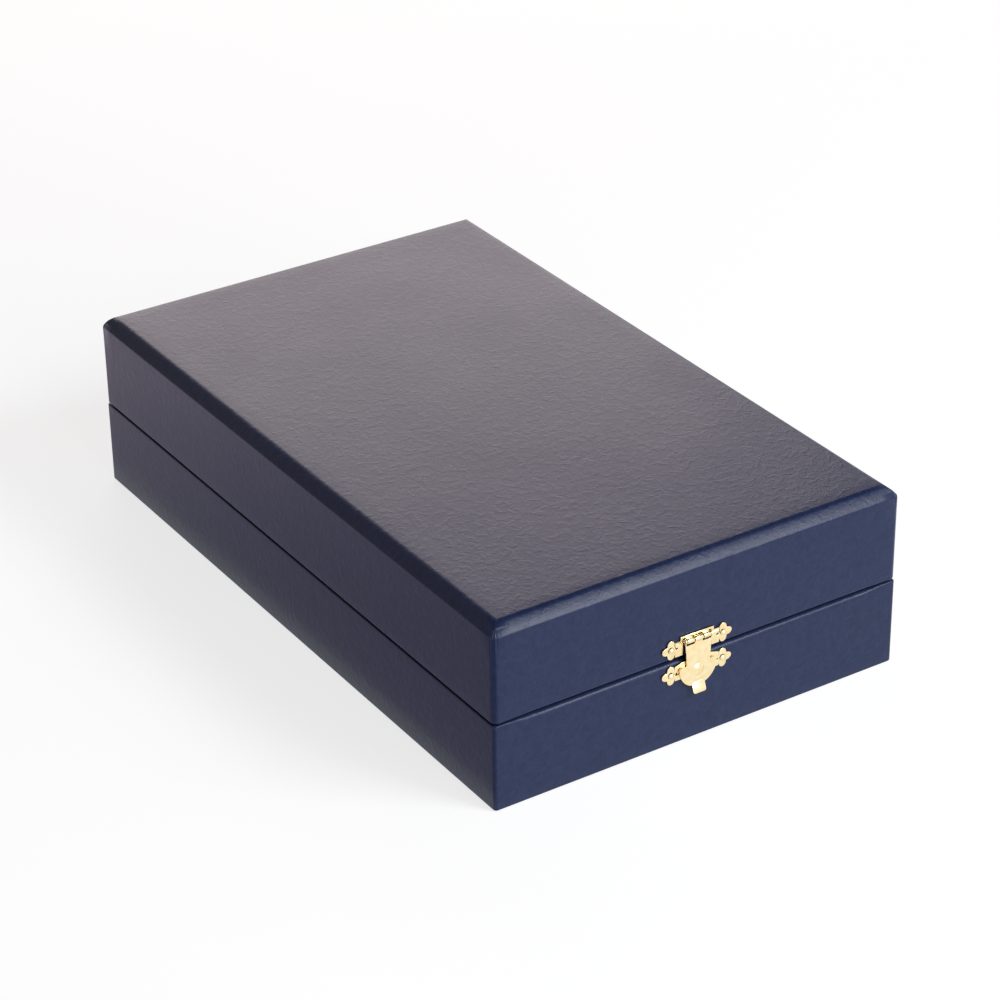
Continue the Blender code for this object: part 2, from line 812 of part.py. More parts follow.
def hasp(axis):
    """Swinging plate: knuckles, neck with two windows, shouldered shield, boss and finger tab."""
    quarter = math.pi / 2
    back = seat_gap + plate_thickness + fit_gap
    front = back + hasp_thickness
    window_top = clasp_pin_height - clasp_knuckle_radius
    shoulder = shield_radius - shoulder_radius
    shoulder_top = shoulder_radius - shield_drop
    outline = [(hasp_half, clasp_pin_height), (-hasp_half, clasp_pin_height)]
    outline += [(-hasp_neck_half, shoulder_top)]
    outline += arc((-shoulder, -shield_drop), shoulder_radius, quarter, 2 * quarter, corner_steps)
    outline += arc((0, -shield_drop), shield_radius, 2 * quarter, 4 * quarter, 4 * edge_steps)[1:-1]
    outline += arc((shoulder, -shield_drop), shoulder_radius, 0, quarter, corner_steps)
    outline += [(hasp_neck_half, shoulder_top)]
    sheet = prism("sheet", outline, back, front)
    tab_middle = (tab_length + tab_corner_radius) / 2
    tab = rounded_rectangle(tab_half, tab_middle, tab_corner_radius)
    tab_mesh = prism("tab", [(x, y - tab_middle) for x, y in tab], -hasp_thickness, 0)
    moved(tab_mesh, (0, tab_corner_radius - tab_root, front), Euler((-tab_tilt, 0, 0)))
    boss = moved(turned("boss", dome_profile(boss_radius, boss_height, -hasp_thickness / 2), round_sides),
                 (0, -boss_drop, front))
    hollow_radius = boss_radius - boss_wall
    hollow = moved(turned("hollow", dome_profile(hollow_radius, boss_height, -hasp_thickness - cut_overrun),
                          round_sides), (0, -boss_drop, front - boss_wall))
    windows = []
    for side in (-1, 1):
        near = side * (plate_knuckle_near - fit_gap)
        far = side * (plate_knuckle_far + fit_gap)
        low = (min(near, far), window_top - window_height, back - cut_overrun)
        high = (max(near, far), clasp_pin_height + cut_overrun, front + cut_overrun)
        windows.append(slab("window", low, high))
    cut_sheet = carved(sheet, joined=[tab_mesh, boss], removed=windows + [hollow])
    pin_centre = (clasp_pin_height, clasp_pin_out)
    knuckles = []
    middle = plate_knuckle_near - fit_gap
    outer = plate_knuckle_far + fit_gap
    for left, right in ((-hasp_half, -outer), (-middle, middle), (outer, hasp_half)):
        knuckles.append(cross_bar("knuckle", clasp_knuckle_radius, left, right, pin_centre))
    mesh = carved(cut_sheet, joined=knuckles, removed=[clasp_bore()])
    add_piece("hasp", mesh, brass, axis, (clasp_shift, -half_depth, seam_height), front_turn)


# Stop hinges: built flat, X across, Y up from the seam and Z out of the back face

def stepped_outline(spans, near, set_back, far, radius):
    """Outline whose near edge reaches in along its own knuckles and is set back beside the others."""
    edges = []
    for index, (left, right) in enumerate(spans):
        if left > -hinge_half and index == 0:
            edges += [(-hinge_half, set_back), (left, set_back)]
        edges += [(left, near), (right, near)]
        if index + 1 < len(spans):
            edges += [(right, set_back), (spans[index + 1][0], set_back)]
        elif right < hinge_half:
            edges += [(right, set_back), (hinge_half, set_back)]
    quarter = math.pi / 2
    edges += arc((hinge_half - radius, far - radius), radius, 0, quarter, corner_steps)
    edges += arc((radius - hinge_half, far - radius), radius, quarter, 2 * quarter, corner_steps)
    return edges


def stop_lip(side, spans):
    """Lip that meets the other leaf's lip when the lid is open, rooted on its own knuckles."""
    room = hinge_knuckle_radius + fit_gap
    outline = stepped_outline(spans, stop_root, room, stop_reach, stop_corner_radius)
    face = fit_gap / 2
    back = face + stop_thickness
    low, high = (-back, -face) if side > 0 else (face, back)
    turn = math.pi / 2 - side * stop_angle / 2
    return moved(prism("lip", outline, low, high), (0, 0, hinge_pin_out), Euler((turn, 0, 0)))


def hinge_leaf(side, spans):
    """One leaf: side is 1 on the lid and -1 on the base; spans are its own knuckles."""
    front = seat_gap + leaf_thickness
    room = hinge_knuckle_radius + fit_gap
    outline = stepped_outline(spans, 0, room, leaf_reach, leaf_corner_radius)
    plate = prism("leaf", [(x, side * y) for x, y in outline], seat_gap, front)
    cuts = []
    for across in (-hinge_nail_across, hinge_nail_across):
        start = (across, side * hinge_nail_drop, seat_gap - cut_overrun)
        end = (across, side * hinge_nail_drop, front + cut_overrun)
        cuts.append(rod("hole", nail_hole_radius, start, end, nail_sides))
    reach = hinge_half + cut_overrun
    cuts.append(cross_bar("bore", hinge_bore_radius, -reach, reach, (0, hinge_pin_out)))
    joined = []
    for left, right in spans:
        joined.append(cross_bar("knuckle", hinge_knuckle_radius, left, right, (0, hinge_pin_out)))
    joined.append(stop_lip(side, spans))
    return carved(plate, joined=joined, removed=cuts)


def hinge_pin_mesh():
    """Pin with a small head at each end."""
    reach = hinge_half + fit_gap
    end = reach + hinge_pin_head_length
    profile = ((-end, hinge_pin_head), (-reach, hinge_pin_head), (-reach, hinge_pin_radius),
               (reach, hinge_pin_radius), (reach, hinge_pin_head), (end, hinge_pin_head))
    loops = []
    for x, radius in profile:
        loop = []
        for step in range(round_sides):
            angle = math.tau * (step + 0.5) / round_sides
            loop.append((x, radius * math.cos(angle), hinge_pin_out + radius * math.sin(angle)))
        loops.append(loop)
    return loft("pin", loops)


def build_hinges(lid_axis):
    middle = hinge_middle_half
    outer_start = middle + fit_gap
    outer_spans = ((-hinge_half, -outer_start), (outer_start, hinge_half))
    middle_spans = ((-middle, middle),)
    lid_leaf = hinge_leaf(1, middle_spans)
    base_leaf = hinge_leaf(-1, outer_spans)
    pin = hinge_pin_mesh()
    for name, side in (("left", -1), ("right", 1)):
        place = (side * hinge_place, half_depth, seam_height)
        add_piece("hinge_lid_leaf_" + name, lid_leaf.copy(), brass, lid_axis, place, back_turn)
        add_piece("hinge_base_leaf_" + name, base_leaf.copy(), brass, None, place, back_turn)
        add_piece("hinge_pin_" + name, pin.copy(), brass, None, place, back_turn)


def build():
    clear_scene()
    lid_axis = add_axis("lid_axis", lid_axis_place)
    hasp_axis = add_axis("hasp_axis", hasp_axis_place)
    hasp_axis.parent = lid_axis
    hasp_axis.matrix_parent_inverse = Matrix.Translation(lid_axis_place).inverted()
    build_base()
    build_lid(lid_axis)
    catch_plate()
    clasp_plate(lid_axis)
    clasp_pin(lid_axis)
    hasp(hasp_axis)
    build_hinges(lid_axis)
    add_nails(lid_axis)


build()
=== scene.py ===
"""Looks of the plaque presentation box: covered case, bright clasp, stop hinges and a lined inside.

Units are metres and +Z is up, in the CAD's own frame. Every new piece keeps its object at the origin,
so that object coordinates are the frame's coordinates and the textures have their real scale.
"""

import math

import bmesh
import bpy
from mathutils import Euler, Matrix, Vector, noise


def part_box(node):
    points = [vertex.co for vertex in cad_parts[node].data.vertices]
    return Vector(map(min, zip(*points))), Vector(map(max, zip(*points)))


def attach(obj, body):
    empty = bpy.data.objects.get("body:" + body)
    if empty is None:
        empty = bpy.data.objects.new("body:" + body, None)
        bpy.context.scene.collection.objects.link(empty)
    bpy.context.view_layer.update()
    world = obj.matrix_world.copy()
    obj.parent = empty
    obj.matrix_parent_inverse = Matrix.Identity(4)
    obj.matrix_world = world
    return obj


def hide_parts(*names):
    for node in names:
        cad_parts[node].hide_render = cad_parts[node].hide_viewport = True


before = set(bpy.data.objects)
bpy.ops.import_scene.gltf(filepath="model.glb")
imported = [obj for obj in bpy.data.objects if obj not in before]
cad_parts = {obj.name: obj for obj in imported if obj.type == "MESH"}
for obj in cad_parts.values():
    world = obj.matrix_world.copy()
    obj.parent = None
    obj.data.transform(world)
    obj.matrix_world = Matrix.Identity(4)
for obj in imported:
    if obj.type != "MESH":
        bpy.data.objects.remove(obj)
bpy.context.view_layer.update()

# Outside of the case: the CAD's sizes, with softer edges
case_width = 0.151
case_depth = 0.249
case_height = 0.064
base_height = 0.0302
rim_gap = 0.0007
bevel_top_radius = 0.0030
bevel_middle_radius = 0.0195
bevel_low_radius = 0.0010
bevel_first_turn = math.radians(39)
bevel_second_turn = math.radians(50)
lid_corner_radius = 0.0021
base_corner_radius = 0.0013
side_rim_radius = 0.0005
lid_front_rim_radius = 0.0009
base_front_rim_radius = 0.0018
base_front_rim_drop = 0.0004
rim_change_start = 0.0030
rim_change_length = 0.0110
foot_edge_radius = 0.0005
fit_gap = 0.0003
seat_gap = 0.0002
cut_overrun = 0.0020
least_radius = 0.0003
skin = 0.0008
turn_in_depth = 0.0060
turn_in_edge_radius = 0.0004
hem_width = 0.0025
foot_lift = 0.00025
wall_board = 0.0050
lining = 0.0012
pleat_depth = 0.00022
pleat_reach_share = 1.6
pleat_counts = (3, 4, 3, 4)

# Inside
frame_border = 0.0160
frame_outer_radius = 0.0014
frame_mouth_radius = 0.0020
frame_corner_radius = 0.0030
notch_radius = 0.0105
notch_fillet = 0.0030
bed_crown = 0.0006
bed_crown_power = 0.4
bed_edge_radius = 0.0008
lining_edge_radius = 0.00045
velvet_wave = 0.00008
satin_wave = 0.00020
wave_length = 0.0065
wave_height = 0.0195
wave_flat_share = 0.2
wave_seed = 0.54
pad_start_inset = 0.0012
pad_start_thickness = 0.0046
pad_remesh = 0.0035
pad_pressure = 4.0
pad_frames = 20
pad_most_swell = 0.0040
pad_press = 0.0022
pad_corner_radius = 0.0060
pad_edge_radius = 0.0022
pad_pucker_depth = 0.00035
pad_pucker_reach = 0.0120
pucker_length = 0.0042
pucker_height = 0.0200
pucker_width = 0.0300
pucker_start_share = 0.5

# Nails
nail_head_radius = 0.0010
nail_head_height = 0.0006
nail_shank_radius = 0.00045
nail_length = 0.0042
nail_hole_radius = 0.00075

# Clasp, measured from the middle of the seam on the front face
clasp_shift = -0.00235
plate_thickness = 0.0005
lobe_reach = 0.0033
lobe_waist_share = 0.60
lobe_sharpness = 1.2
lobe_steps = 96
lobe_spacing = 0.0097
root_hole_radius = 0.00036
root_hole_inset = 0.0021
upper_lobe_height = 0.0044
upper_bar_half = 0.0062
upper_bar_bottom = 0.0053
upper_bar_top = 0.0079
upper_arm_top = 0.0066
upper_arm_bottom = 0.0014
lower_lobe_drop = 0.00465
lower_body_half = 0.0054
lower_body_top = 0.0012
lower_body_foot = 0.0040
lower_arm_top = 0.0020
lower_arm_bottom = 0.0070
arm_reach = 0.0082
clasp_pin_height = 0.0061
clasp_pin_out = 0.0011
clasp_pin_radius = 0.00035
clasp_knuckle_radius = 0.0009
clasp_bore_radius = 0.00065
clasp_knuckle_room = 0.00025
plate_knuckle_near = 0.0018
plate_knuckle_far = 0.0043
hasp_half = 0.0050
hasp_neck_half = 0.0043
hasp_thickness = 0.0005
window_height = 0.0006
shield_drop = 0.0038
shield_radius = 0.00695
shoulder_radius = 0.0012
tab_half = 0.0024
tab_root = 0.0101
tab_length = 0.0029
tab_tilt = math.radians(20)
tab_corner_radius = 0.0008
boss_drop = 0.0050
boss_radius = 0.0021
boss_height = 0.0008
boss_wall = 0.0004
stud_radius = 0.0012
stud_height = 0.0005
metal_edge = 0.00012

# Stop hinges, measured from the middle of the seam on the back face
hinge_side_margin = 0.0195
hinge_half = 0.0110
hinge_middle_half = 0.0035
leaf_thickness = 0.0008
leaf_reach = 0.0105
leaf_corner_radius = 0.0012
hinge_pin_out = 0.0016
hinge_pin_radius = 0.0006
hinge_pin_head = 0.0012
hinge_pin_head_length = 0.0004
hinge_knuckle_radius = 0.0014
hinge_bore_radius = 0.0009
hinge_nail_across = 0.0064
hinge_nail_drop = 0.0064
stop_angle = math.radians(100)
stop_root = 0.00115
stop_reach = 0.0039
stop_thickness = 0.0008
stop_corner_radius = 0.0006

# Meshes: where points merge, angles from which edges are sharp or get rounded, and steps
merge_distance = 0.000003
smooth_angle = math.radians(32)
metal_smooth_angle = math.radians(50)
rounding_angle = math.radians(38)
across_steps = 30
along_steps = 50
corner_steps = 6

# Textures: cells in a metre, and depths of the relief
ripple_cells = 430
fine_cells = 1500
pore_cells = 4200
gloss_cells = 28
ripple_depth = 0.00010
ridge_depth = 0.000006
fine_depth = 0.000022
pore_depth = 0.00001
pile_patch_cells = 55
pile_cells = 5200
pile_patch_depth = 0.00060
pile_depth = 0.00012
thread_cells = 6200
satin_swell_cells = 60
satin_swell_depth = 0.00080
thread_depth = 0.00003
fibre_cells = 900
fibre_depth = 0.00010
paper_cells = 1400
paper_patch_cells = 40
paper_depth = 0.00006
rolling_cells = 9000
rolling_depth = 0.000003
brass_patch_cells = 350
brass_patch_depth = 0.00005

# Camera, fitted to the photograph's outline
camera_lens = 115.69
camera_sensor = 36.0
camera_azimuth = math.radians(-32.66)
camera_elevation = math.radians(29.42)
camera_roll = math.radians(-0.794)
camera_distance = 1.06856
camera_right = -0.00644
camera_up = 0.00603
camera_target = Vector((0, 0, 0.032))

# Lamps: name, place, target, size, radiance and colour
lamps = (("back_panel", (0.52, 1.11, 0.53), (0, 0, 0.06), (0.85, 0.70), 2.70, (1, 0.83, 0.80)),
         ("bevel_panel", (0.64, -1.07, 1.02), (0, 0, 0.06), (0.60, 0.50), 12.5, (0.95, 0.97, 1)),
         ("front_panel", (0.10, -1.40, 0.55), (0, 0, 0.04), (1.00, 0.80), 3.2, (1, 1, 1)))

# Cards that the box mirrors: name, place, facing, size, glow and, where it changes, the glow far away
cards = (("left_flag", (-0.75, 0.75, 0.55), (0.75, -0.75, -0.50), (1.6, 1.0), (0.44, 0.36, 0.30)),
         ("overhead_flag", (0.35, 0.42, 1.30), (0, 0, -1), (2.5, 2.15), (0, 0, 0)),
         # floor_flag and corner_flag are painted shadow: dark sheets lying where the box's shadow falls on
         # the floor, seen only in what the box mirrors
         ("floor_flag", (-0.165, 0.10, 0.001), (0, 0, 1), (0.17, 0.52), (0.43, 0.39, 0.49), (1, 0.86, 0.98)),
         ("corner_flag", (-0.19, -0.21, 0.001), (0, 0, 1), (0.20, 0.10), (0, 0, 0)))
card_glow_start = 0.035
card_glow_end = 0.220

# Floor, which pales with distance, and the sky
floor_radius = 6.0
floor_fade_start = 0.7
floor_fade_end = 2.6
floor_near_glow = 0.75
floor_bounce = 0.45
floor_colour = (0.45, 0.45, 0.45, 1)
sky_bounce = 0.07
white = (1, 1, 1, 1)

# Places that follow from the sizes above
half_width = case_width / 2
half_depth = case_depth / 2
lid_bottom = base_height + rim_gap
seam_height = base_height + rim_gap / 2
board_inset = skin + fit_gap
turn_in_inset = board_inset + wall_board + fit_gap
lining_inset = turn_in_inset + skin + fit_gap
room_inset = lining_inset + lining + fit_gap
room_half_x = half_width - room_inset
room_half_y = half_depth - room_inset
recess_half_x = room_half_x - frame_border
recess_half_y = room_half_y - frame_border
hinge_place = half_width - hinge_side_margin - hinge_half
root_hole_place = lobe_spacing - root_hole_inset
plate_front = seat_gap + plate_thickness
leaf_front = seat_gap + leaf_thickness
clasp_pin_centre = (clasp_pin_height, clasp_pin_out)
quarter = math.pi / 2
front_turn = Euler((quarter, 0, 0))
back_turn = Euler((quarter, 0, math.pi))
bevel_arcs = ((bevel_top_radius, 0, bevel_first_turn),
              (bevel_middle_radius, bevel_first_turn, bevel_second_turn),
              (bevel_low_radius, bevel_second_turn, quarter))
bevel_reach = sum(radius * (math.sin(end) - math.sin(start)) for radius, start, end in bevel_arcs)
bevel_drop = sum(radius * (math.cos(start) - math.cos(end)) for radius, start, end in bevel_arcs)


# Materials

def new_material(name):
    material = bpy.data.materials.new(name)
    material.use_nodes = True
    tree = material.node_tree
    return material, tree, tree.nodes["Principled BSDF"]


def add_node(tree, kind, **settings):
    made = tree.nodes.new("ShaderNode" + kind)
    for name, value in settings.items():
        setattr(made, name, value)
    return made


def feed(tree, node, **values):
    """Set a node's inputs: a socket is linked and anything else becomes the value."""
    for name, value in values.items():
        socket = node.inputs[name.replace("_", " ")]
        if isinstance(value, bpy.types.NodeSocket):
            tree.links.new(value, socket)
        else:
            socket.default_value = value
    return node


def object_place(tree, stretch=(1, 1, 1), turn=0):
    place = add_node(tree, "TexCoord").outputs["Object"]
    mapping = add_node(tree, "Mapping")
    return feed(tree, mapping, Vector=place, Scale=stretch, Rotation=(0, 0, turn)).outputs["Vector"]


def noise_of(tree, cells, detail=3, roughness=0.55, distortion=0, stretch=(1, 1, 1), turn=0):
    """Noise with so many cells in a metre of the object, before the stretch and turn."""
    made = add_node(tree, "TexNoise")
    feed(tree, made, Vector=object_place(tree, stretch, turn), Scale=cells, Detail=detail)
    feed(tree, made, Roughness=roughness, Distortion=distortion)
    return made.outputs["Fac"]


def ramp_of(tree, value, low_colour, high_colour, low=0.30, high=0.70):
    """Blend between two colours as the value goes from low to high."""
    made = add_node(tree, "ValToRGB")
    made.color_ramp.elements[0].position = low
    made.color_ramp.elements[1].position = high
    made.color_ramp.elements[0].color = (*low_colour, 1)
    made.color_ramp.elements[1].color = (*high_colour, 1)
    feed(tree, made, Fac=value)
    return made.outputs["Color"]


def range_of(tree, value, low, high, new_low, new_high):
    made = add_node(tree, "MapRange")
    feed(tree, made, Value=value, From_Min=low, From_Max=high, To_Min=new_low, To_Max=new_high)
    return made.outputs["Result"]


def math_of(tree, operation, first, second):
    made = add_node(tree, "Math", operation=operation)
    for socket, value in zip(made.inputs, (first, second)):
        if isinstance(value, bpy.types.NodeSocket):
            tree.links.new(value, socket)
        else:
            socket.default_value = value
    return made.outputs[0]


def bump_of(tree, height, depth, after=None):
    made = add_node(tree, "Bump")
    feed(tree, made, Height=height, Distance=depth)
    if after:
        feed(tree, made, Normal=after)
    return made.outputs["Normal"]


def leatherette(name):
    """Navy leatherette: soft ripples, fine cells and pores, with a satin gloss."""
    material, tree, shader = new_material(name)
    ripple = noise_of(tree, ripple_cells, distortion=0.7)
    crease = math_of(tree, "ABSOLUTE", math_of(tree, "SUBTRACT", ripple, 0.5), 0)
    ridge = range_of(tree, crease, 0, 0.12, 0, 1)
    fine = noise_of(tree, fine_cells, roughness=0.6, distortion=0.4)
    pores = noise_of(tree, pore_cells, 2, 0.5)
    slow = noise_of(tree, gloss_cells, 2, 0.5)
    normal = bump_of(tree, ripple, ripple_depth)
    normal = bump_of(tree, ridge, ridge_depth, normal)
    normal = bump_of(tree, fine, fine_depth, normal)
    normal = bump_of(tree, pores, pore_depth, normal)
    colour = ramp_of(tree, ripple, (0.013, 0.022, 0.068), (0.019, 0.031, 0.090))
    rough = range_of(tree, math_of(tree, "ADD", fine, slow), 0.6, 1.4, 0.27, 0.35)
    feed(tree, shader, Base_Color=colour, Roughness=rough, Normal=normal, Specular_IOR_Level=0.24)
    return material


def velvet(name):
    """Navy velvet: dark pile with a soft sheen, brushed in patches."""
    material, tree, shader = new_material(name)
    patches = noise_of(tree, pile_patch_cells, 4, 0.6, 0.8, (1, 0.5, 1), 0.4)
    pile = noise_of(tree, pile_cells, 2, 0.6)
    colour = ramp_of(tree, patches, (0.010, 0.015, 0.060), (0.024, 0.034, 0.120), high=0.72)
    normal = bump_of(tree, pile, pile_depth, bump_of(tree, patches, pile_patch_depth))
    feed(tree, shader, Base_Color=colour, Roughness=0.95, Normal=normal, Specular_IOR_Level=0.15)
    feed(tree, shader, Sheen_Weight=0.65, Sheen_Roughness=0.35, Sheen_Tint=(0.35, 0.45, 0.95, 1))
    return material


def satin(name):
    """Ivory satin: smooth weave, brighter along the thread."""
    material, tree, shader = new_material(name)
    thread = noise_of(tree, thread_cells, 2, 0.6, stretch=(1, 0.05, 1))
    swell = noise_of(tree, satin_swell_cells, 3, 0.5, 0.5)
    colour = ramp_of(tree, thread, (0.70, 0.63, 0.50), (0.84, 0.78, 0.65))
    normal = bump_of(tree, thread, thread_depth, bump_of(tree, swell, satin_swell_depth))
    rough = range_of(tree, thread, 0.3, 0.7, 0.30, 0.42)
    feed(tree, shader, Base_Color=colour, Roughness=rough, Normal=normal)
    feed(tree, shader, Sheen_Weight=0.25, Sheen_Roughness=0.30)
    return material


def board_core(name):
    """Grey-brown pressed board, which shows only at its edges."""
    material, tree, shader = new_material(name)
    fibre = noise_of(tree, fibre_cells, 4, 0.65, 0.5, (1, 0.25, 4))
    colour = ramp_of(tree, fibre, (0.30, 0.21, 0.13), (0.45, 0.33, 0.21))
    rough = range_of(tree, fibre, 0.3, 0.7, 0.80, 0.92)
    feed(tree, shader, Base_Color=colour, Roughness=rough, Normal=bump_of(tree, fibre, fibre_depth))
    return material


def paper_sheet(name):
    """Dark matt sheet under the base, with a fine pressed grain."""
    material, tree, shader = new_material(name)
    grain = noise_of(tree, paper_cells, 3, 0.6)
    slow = noise_of(tree, paper_patch_cells, 2, 0.5)
    colour = ramp_of(tree, slow, (0.014, 0.016, 0.022), (0.024, 0.027, 0.036))
    rough = range_of(tree, grain, 0.3, 0.7, 0.70, 0.85)
    feed(tree, shader, Base_Color=colour, Roughness=rough, Normal=bump_of(tree, grain, paper_depth))
    return material


def brass(name):
    """Bright plated brass with faint rolling marks, slightly duller in patches."""
    material, tree, shader = new_material(name)
    marks = noise_of(tree, rolling_cells, 2, 0.6, stretch=(0.15, 1, 1))
    slow = noise_of(tree, brass_patch_cells, 2, 0.5, 0.4)
    colour = ramp_of(tree, slow, (0.94, 0.75, 0.40), (0.98, 0.84, 0.54), 0.36, 0.64)
    rough = range_of(tree, math_of(tree, "ADD", marks, slow), 0.6, 1.4, 0.13, 0.26)
    normal = bump_of(tree, marks, rolling_depth, bump_of(tree, slow, brass_patch_depth))
    feed(tree, shader, Base_Color=colour, Metallic=1, Roughness=rough, Normal=normal)
    return material


# Meshes

def smoothed(mesh):
    mesh.shade_smooth()
    mesh.set_sharp_from_angle(angle=smooth_angle)
    return mesh


def mesh_from(bm, name):
    bmesh.ops.recalc_face_normals(bm, faces=bm.faces)
    mesh = bpy.data.meshes.new(name)
    bm.to_mesh(mesh)
    bm.free()
    return smoothed(mesh)


def arc(centre, radius, start, end, steps):
    """Points of an arc in a plane, both ends included."""
    points = []
    for step in range(steps + 1):
        angle = start + (end - start) * step / steps
        points.append((centre[0] + radius * math.cos(angle), centre[1] + radius * math.sin(angle)))
    return points


def split(start, end, count):
    """Points between two points, both left out."""
    return [tuple(Vector(start).lerp(Vector(end), step / count)) for step in range(1, count)]


def loft(name, loops, closed=False):
    """Skin a chain of loops that all have as many points, with flat caps or joined end to end."""
    bm = bmesh.new()
    rings = [[bm.verts.new(point) for point in loop] for loop in loops]
    count = len(rings[0])
    pairs = list(zip(rings, rings[1:]))
    if closed:
        pairs.append((rings[-1], rings[0]))
    else:
        bm.faces.new(rings[0])
        bm.faces.new(reversed(rings[-1]))
    for lower, upper in pairs:
        for index in range(count):
            following = (index + 1) % count
            bm.faces.new((lower[index], upper[index], upper[following], lower[following]))
    return mesh_from(bm, name)


def soft_rectangle(half_x, half_y, radius, steps, across=across_steps, along=along_steps, pleat=0):
    """Rounded rectangle with its straight sides split up and small pleats pressed into its corners."""
    outline = []
    sides = ((1, 1), (-1, 1), (-1, -1), (1, -1))
    for turn, (side_x, side_y) in enumerate(sides):
        centre = (side_x * (half_x - radius), side_y * (half_y - radius))
        for step in range(steps + 1):
            angle = (turn + step / steps) * quarter
            waves = pleat_counts[turn] * math.tau * step / steps
            reach = radius - pleat * (1 - math.cos(waves)) / 2
            outline.append((centre[0] + reach * math.cos(angle), centre[1] + reach * math.sin(angle)))
        after_x, after_y = sides[(turn + 1) % 4]
        angle = (turn + 1) * quarter
        following = (after_x * (half_x - radius) + radius * math.cos(angle),
                     after_y * (half_y - radius) + radius * math.sin(angle))
        outline += split(outline[-1], following, across if turn % 2 == 0 else along)
    return outline


def case_loop(inset, height, corner_radius, pleat=0):
    """Loop round the case, the inset inside its outer face."""
    radius = max(corner_radius - inset, least_radius)
    pleat = min(pleat, radius / 2)
    outline = soft_rectangle(half_width - inset, half_depth - inset, radius, 16, pleat=pleat)
    return [(x, y, height) for x, y in outline]


def slab(name, low, high):
    bm = bmesh.new()
    bmesh.ops.create_cube(bm, size=1)
    size = Vector(high) - Vector(low)
    middle = (Vector(high) + Vector(low)) / 2
    matrix = Matrix.Translation(middle) @ Matrix.Diagonal(size).to_4x4()
    bmesh.ops.transform(bm, matrix=matrix, verts=bm.verts)
    return mesh_from(bm, name)


def prism(name, outline, bottom, top):
    return loft(name, [[(x, y, bottom) for x, y in outline], [(x, y, top) for x, y in outline]])


def rounded_rectangle(half_x, half_y, radius):
    points = []
    for turn, (side_x, side_y) in enumerate(((1, 1), (-1, 1), (-1, -1), (1, -1))):
        centre = (side_x * (half_x - radius), side_y * (half_y - radius))
        points += arc(centre, radius, turn * quarter, (turn + 1) * quarter, 8)
    return points


def rod(name, radius, start, end, sides=24):
    start = Vector(start)
    end = Vector(end)
    bm = bmesh.new()
    bmesh.ops.create_cone(
        bm, cap_ends=True, segments=sides, radius1=radius, radius2=radius, depth=(end - start).length)
    turn = (end - start).to_track_quat("Z", "Y").to_matrix().to_4x4()
    bmesh.ops.transform(bm, matrix=Matrix.Translation((start + end) / 2) @ turn, verts=bm.verts)
    return mesh_from(bm, name)


def turned_bar(name, profile, centre, sides=32):
    """Revolve (x, radius) points about a line along X, with its centre given as (y, z)."""
    loops = []
    for x, radius in profile:
        loop = []
        for step in range(sides):
            angle = math.tau * (step + 0.5) / sides
            loop.append((x, centre[0] + radius * math.cos(angle), centre[1] + radius * math.sin(angle)))
        loops.append(loop)
    return loft(name, loops)


def cross_bar(name, radius, left, right, centre):
    return turned_bar(name, ((left, radius), (right, radius)), centre)


def turned(name, profile, sides):
    """Revolve (radius, height) points, from the axis round to the axis, about Z."""
    bm = bmesh.new()
    verts = [bm.verts.new((radius, 0, height)) for radius, height in profile]
    edges = [bm.edges.new(pair) for pair in zip(verts, verts[1:])]
    bmesh.ops.spin(
        bm, geom=verts + edges, cent=(0, 0, 0), axis=(0, 0, 1), angle=math.tau, steps=sides, use_merge=True)
    bmesh.ops.remove_doubles(bm, verts=bm.verts, dist=merge_distance)
    return mesh_from(bm, name)


def dome_profile(radius, height, foot, steps=10):
    """Profile of a spherical cap that stands on a stub reaching down to the foot."""
    curve = (radius * radius + height * height) / (2 * height)
    spread = math.asin(min(radius / curve, 1))
    points = [(0, foot), (radius, foot)]
    for step in range(steps):
        angle = spread * (1 - step / steps)
        points.append((curve * math.sin(angle), height - curve * (1 - math.cos(angle))))
    points.append((0, height))
    return points


def moved(mesh, place, turn=None):
    matrix = Matrix.Translation(Vector(place))
    if turn:
        matrix = matrix @ turn.to_matrix().to_4x4()
    mesh.transform(matrix)
    return mesh


def evaluated(carrier, helpers=()):
    """The mesh that an object's modifiers give, with the object and its helpers removed."""
    graph = bpy.context.evaluated_depsgraph_get()
    graph.update()
    result = bpy.data.meshes.new_from_object(carrier.evaluated_get(graph))
    for item in [carrier, *helpers]:
        bpy.data.objects.remove(item)
    return result


def linked(name, mesh):
    made = bpy.data.objects.new(name, mesh)
    bpy.context.scene.collection.objects.link(made)
    return made


def carved(body, joined=(), removed=()):
    """Return the body's mesh with some shapes added and others cut away."""
    carrier = linked("carrier", body)
    helpers = []
    for operation, shapes in (("UNION", joined), ("DIFFERENCE", removed)):
        for shape in shapes:
            helper = linked("helper", shape)
            step = carrier.modifiers.new(operation.title(), "BOOLEAN")
            step.operation = operation
            step.solver = "EXACT"
            step.object = helper
            helpers.append(helper)
    return smoothed(evaluated(carrier, helpers))


def eased(mesh, width=metal_edge, segments=2):
    """Round a mesh's sharp edges."""
    carrier = linked("carrier", mesh)
    bevel = carrier.modifiers.new("Bevel", "BEVEL")
    bevel.width = width
    bevel.segments = segments
    bevel.limit_method = "ANGLE"
    bevel.angle_limit = rounding_angle
    bevel.use_clamp_overlap = False
    result = evaluated(carrier)
    result.shade_smooth()
    result.set_sharp_from_angle(angle=metal_smooth_angle)
    return result


def add_piece(name, mesh, material, slot, body, *nodes):
    """Add a finished piece that rides on a body and stands for CAD nodes."""
    mesh.name = name
    mesh.materials.clear()
    mesh.materials.append(material)
    piece = linked(name, mesh)
    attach(piece, body)
    if nodes:
        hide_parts(*nodes)
    return piece


def add_bright(node, mesh, metal, body):
    add_piece(node + "_bright", mesh, metal, "brass", body, node)


# Covered case

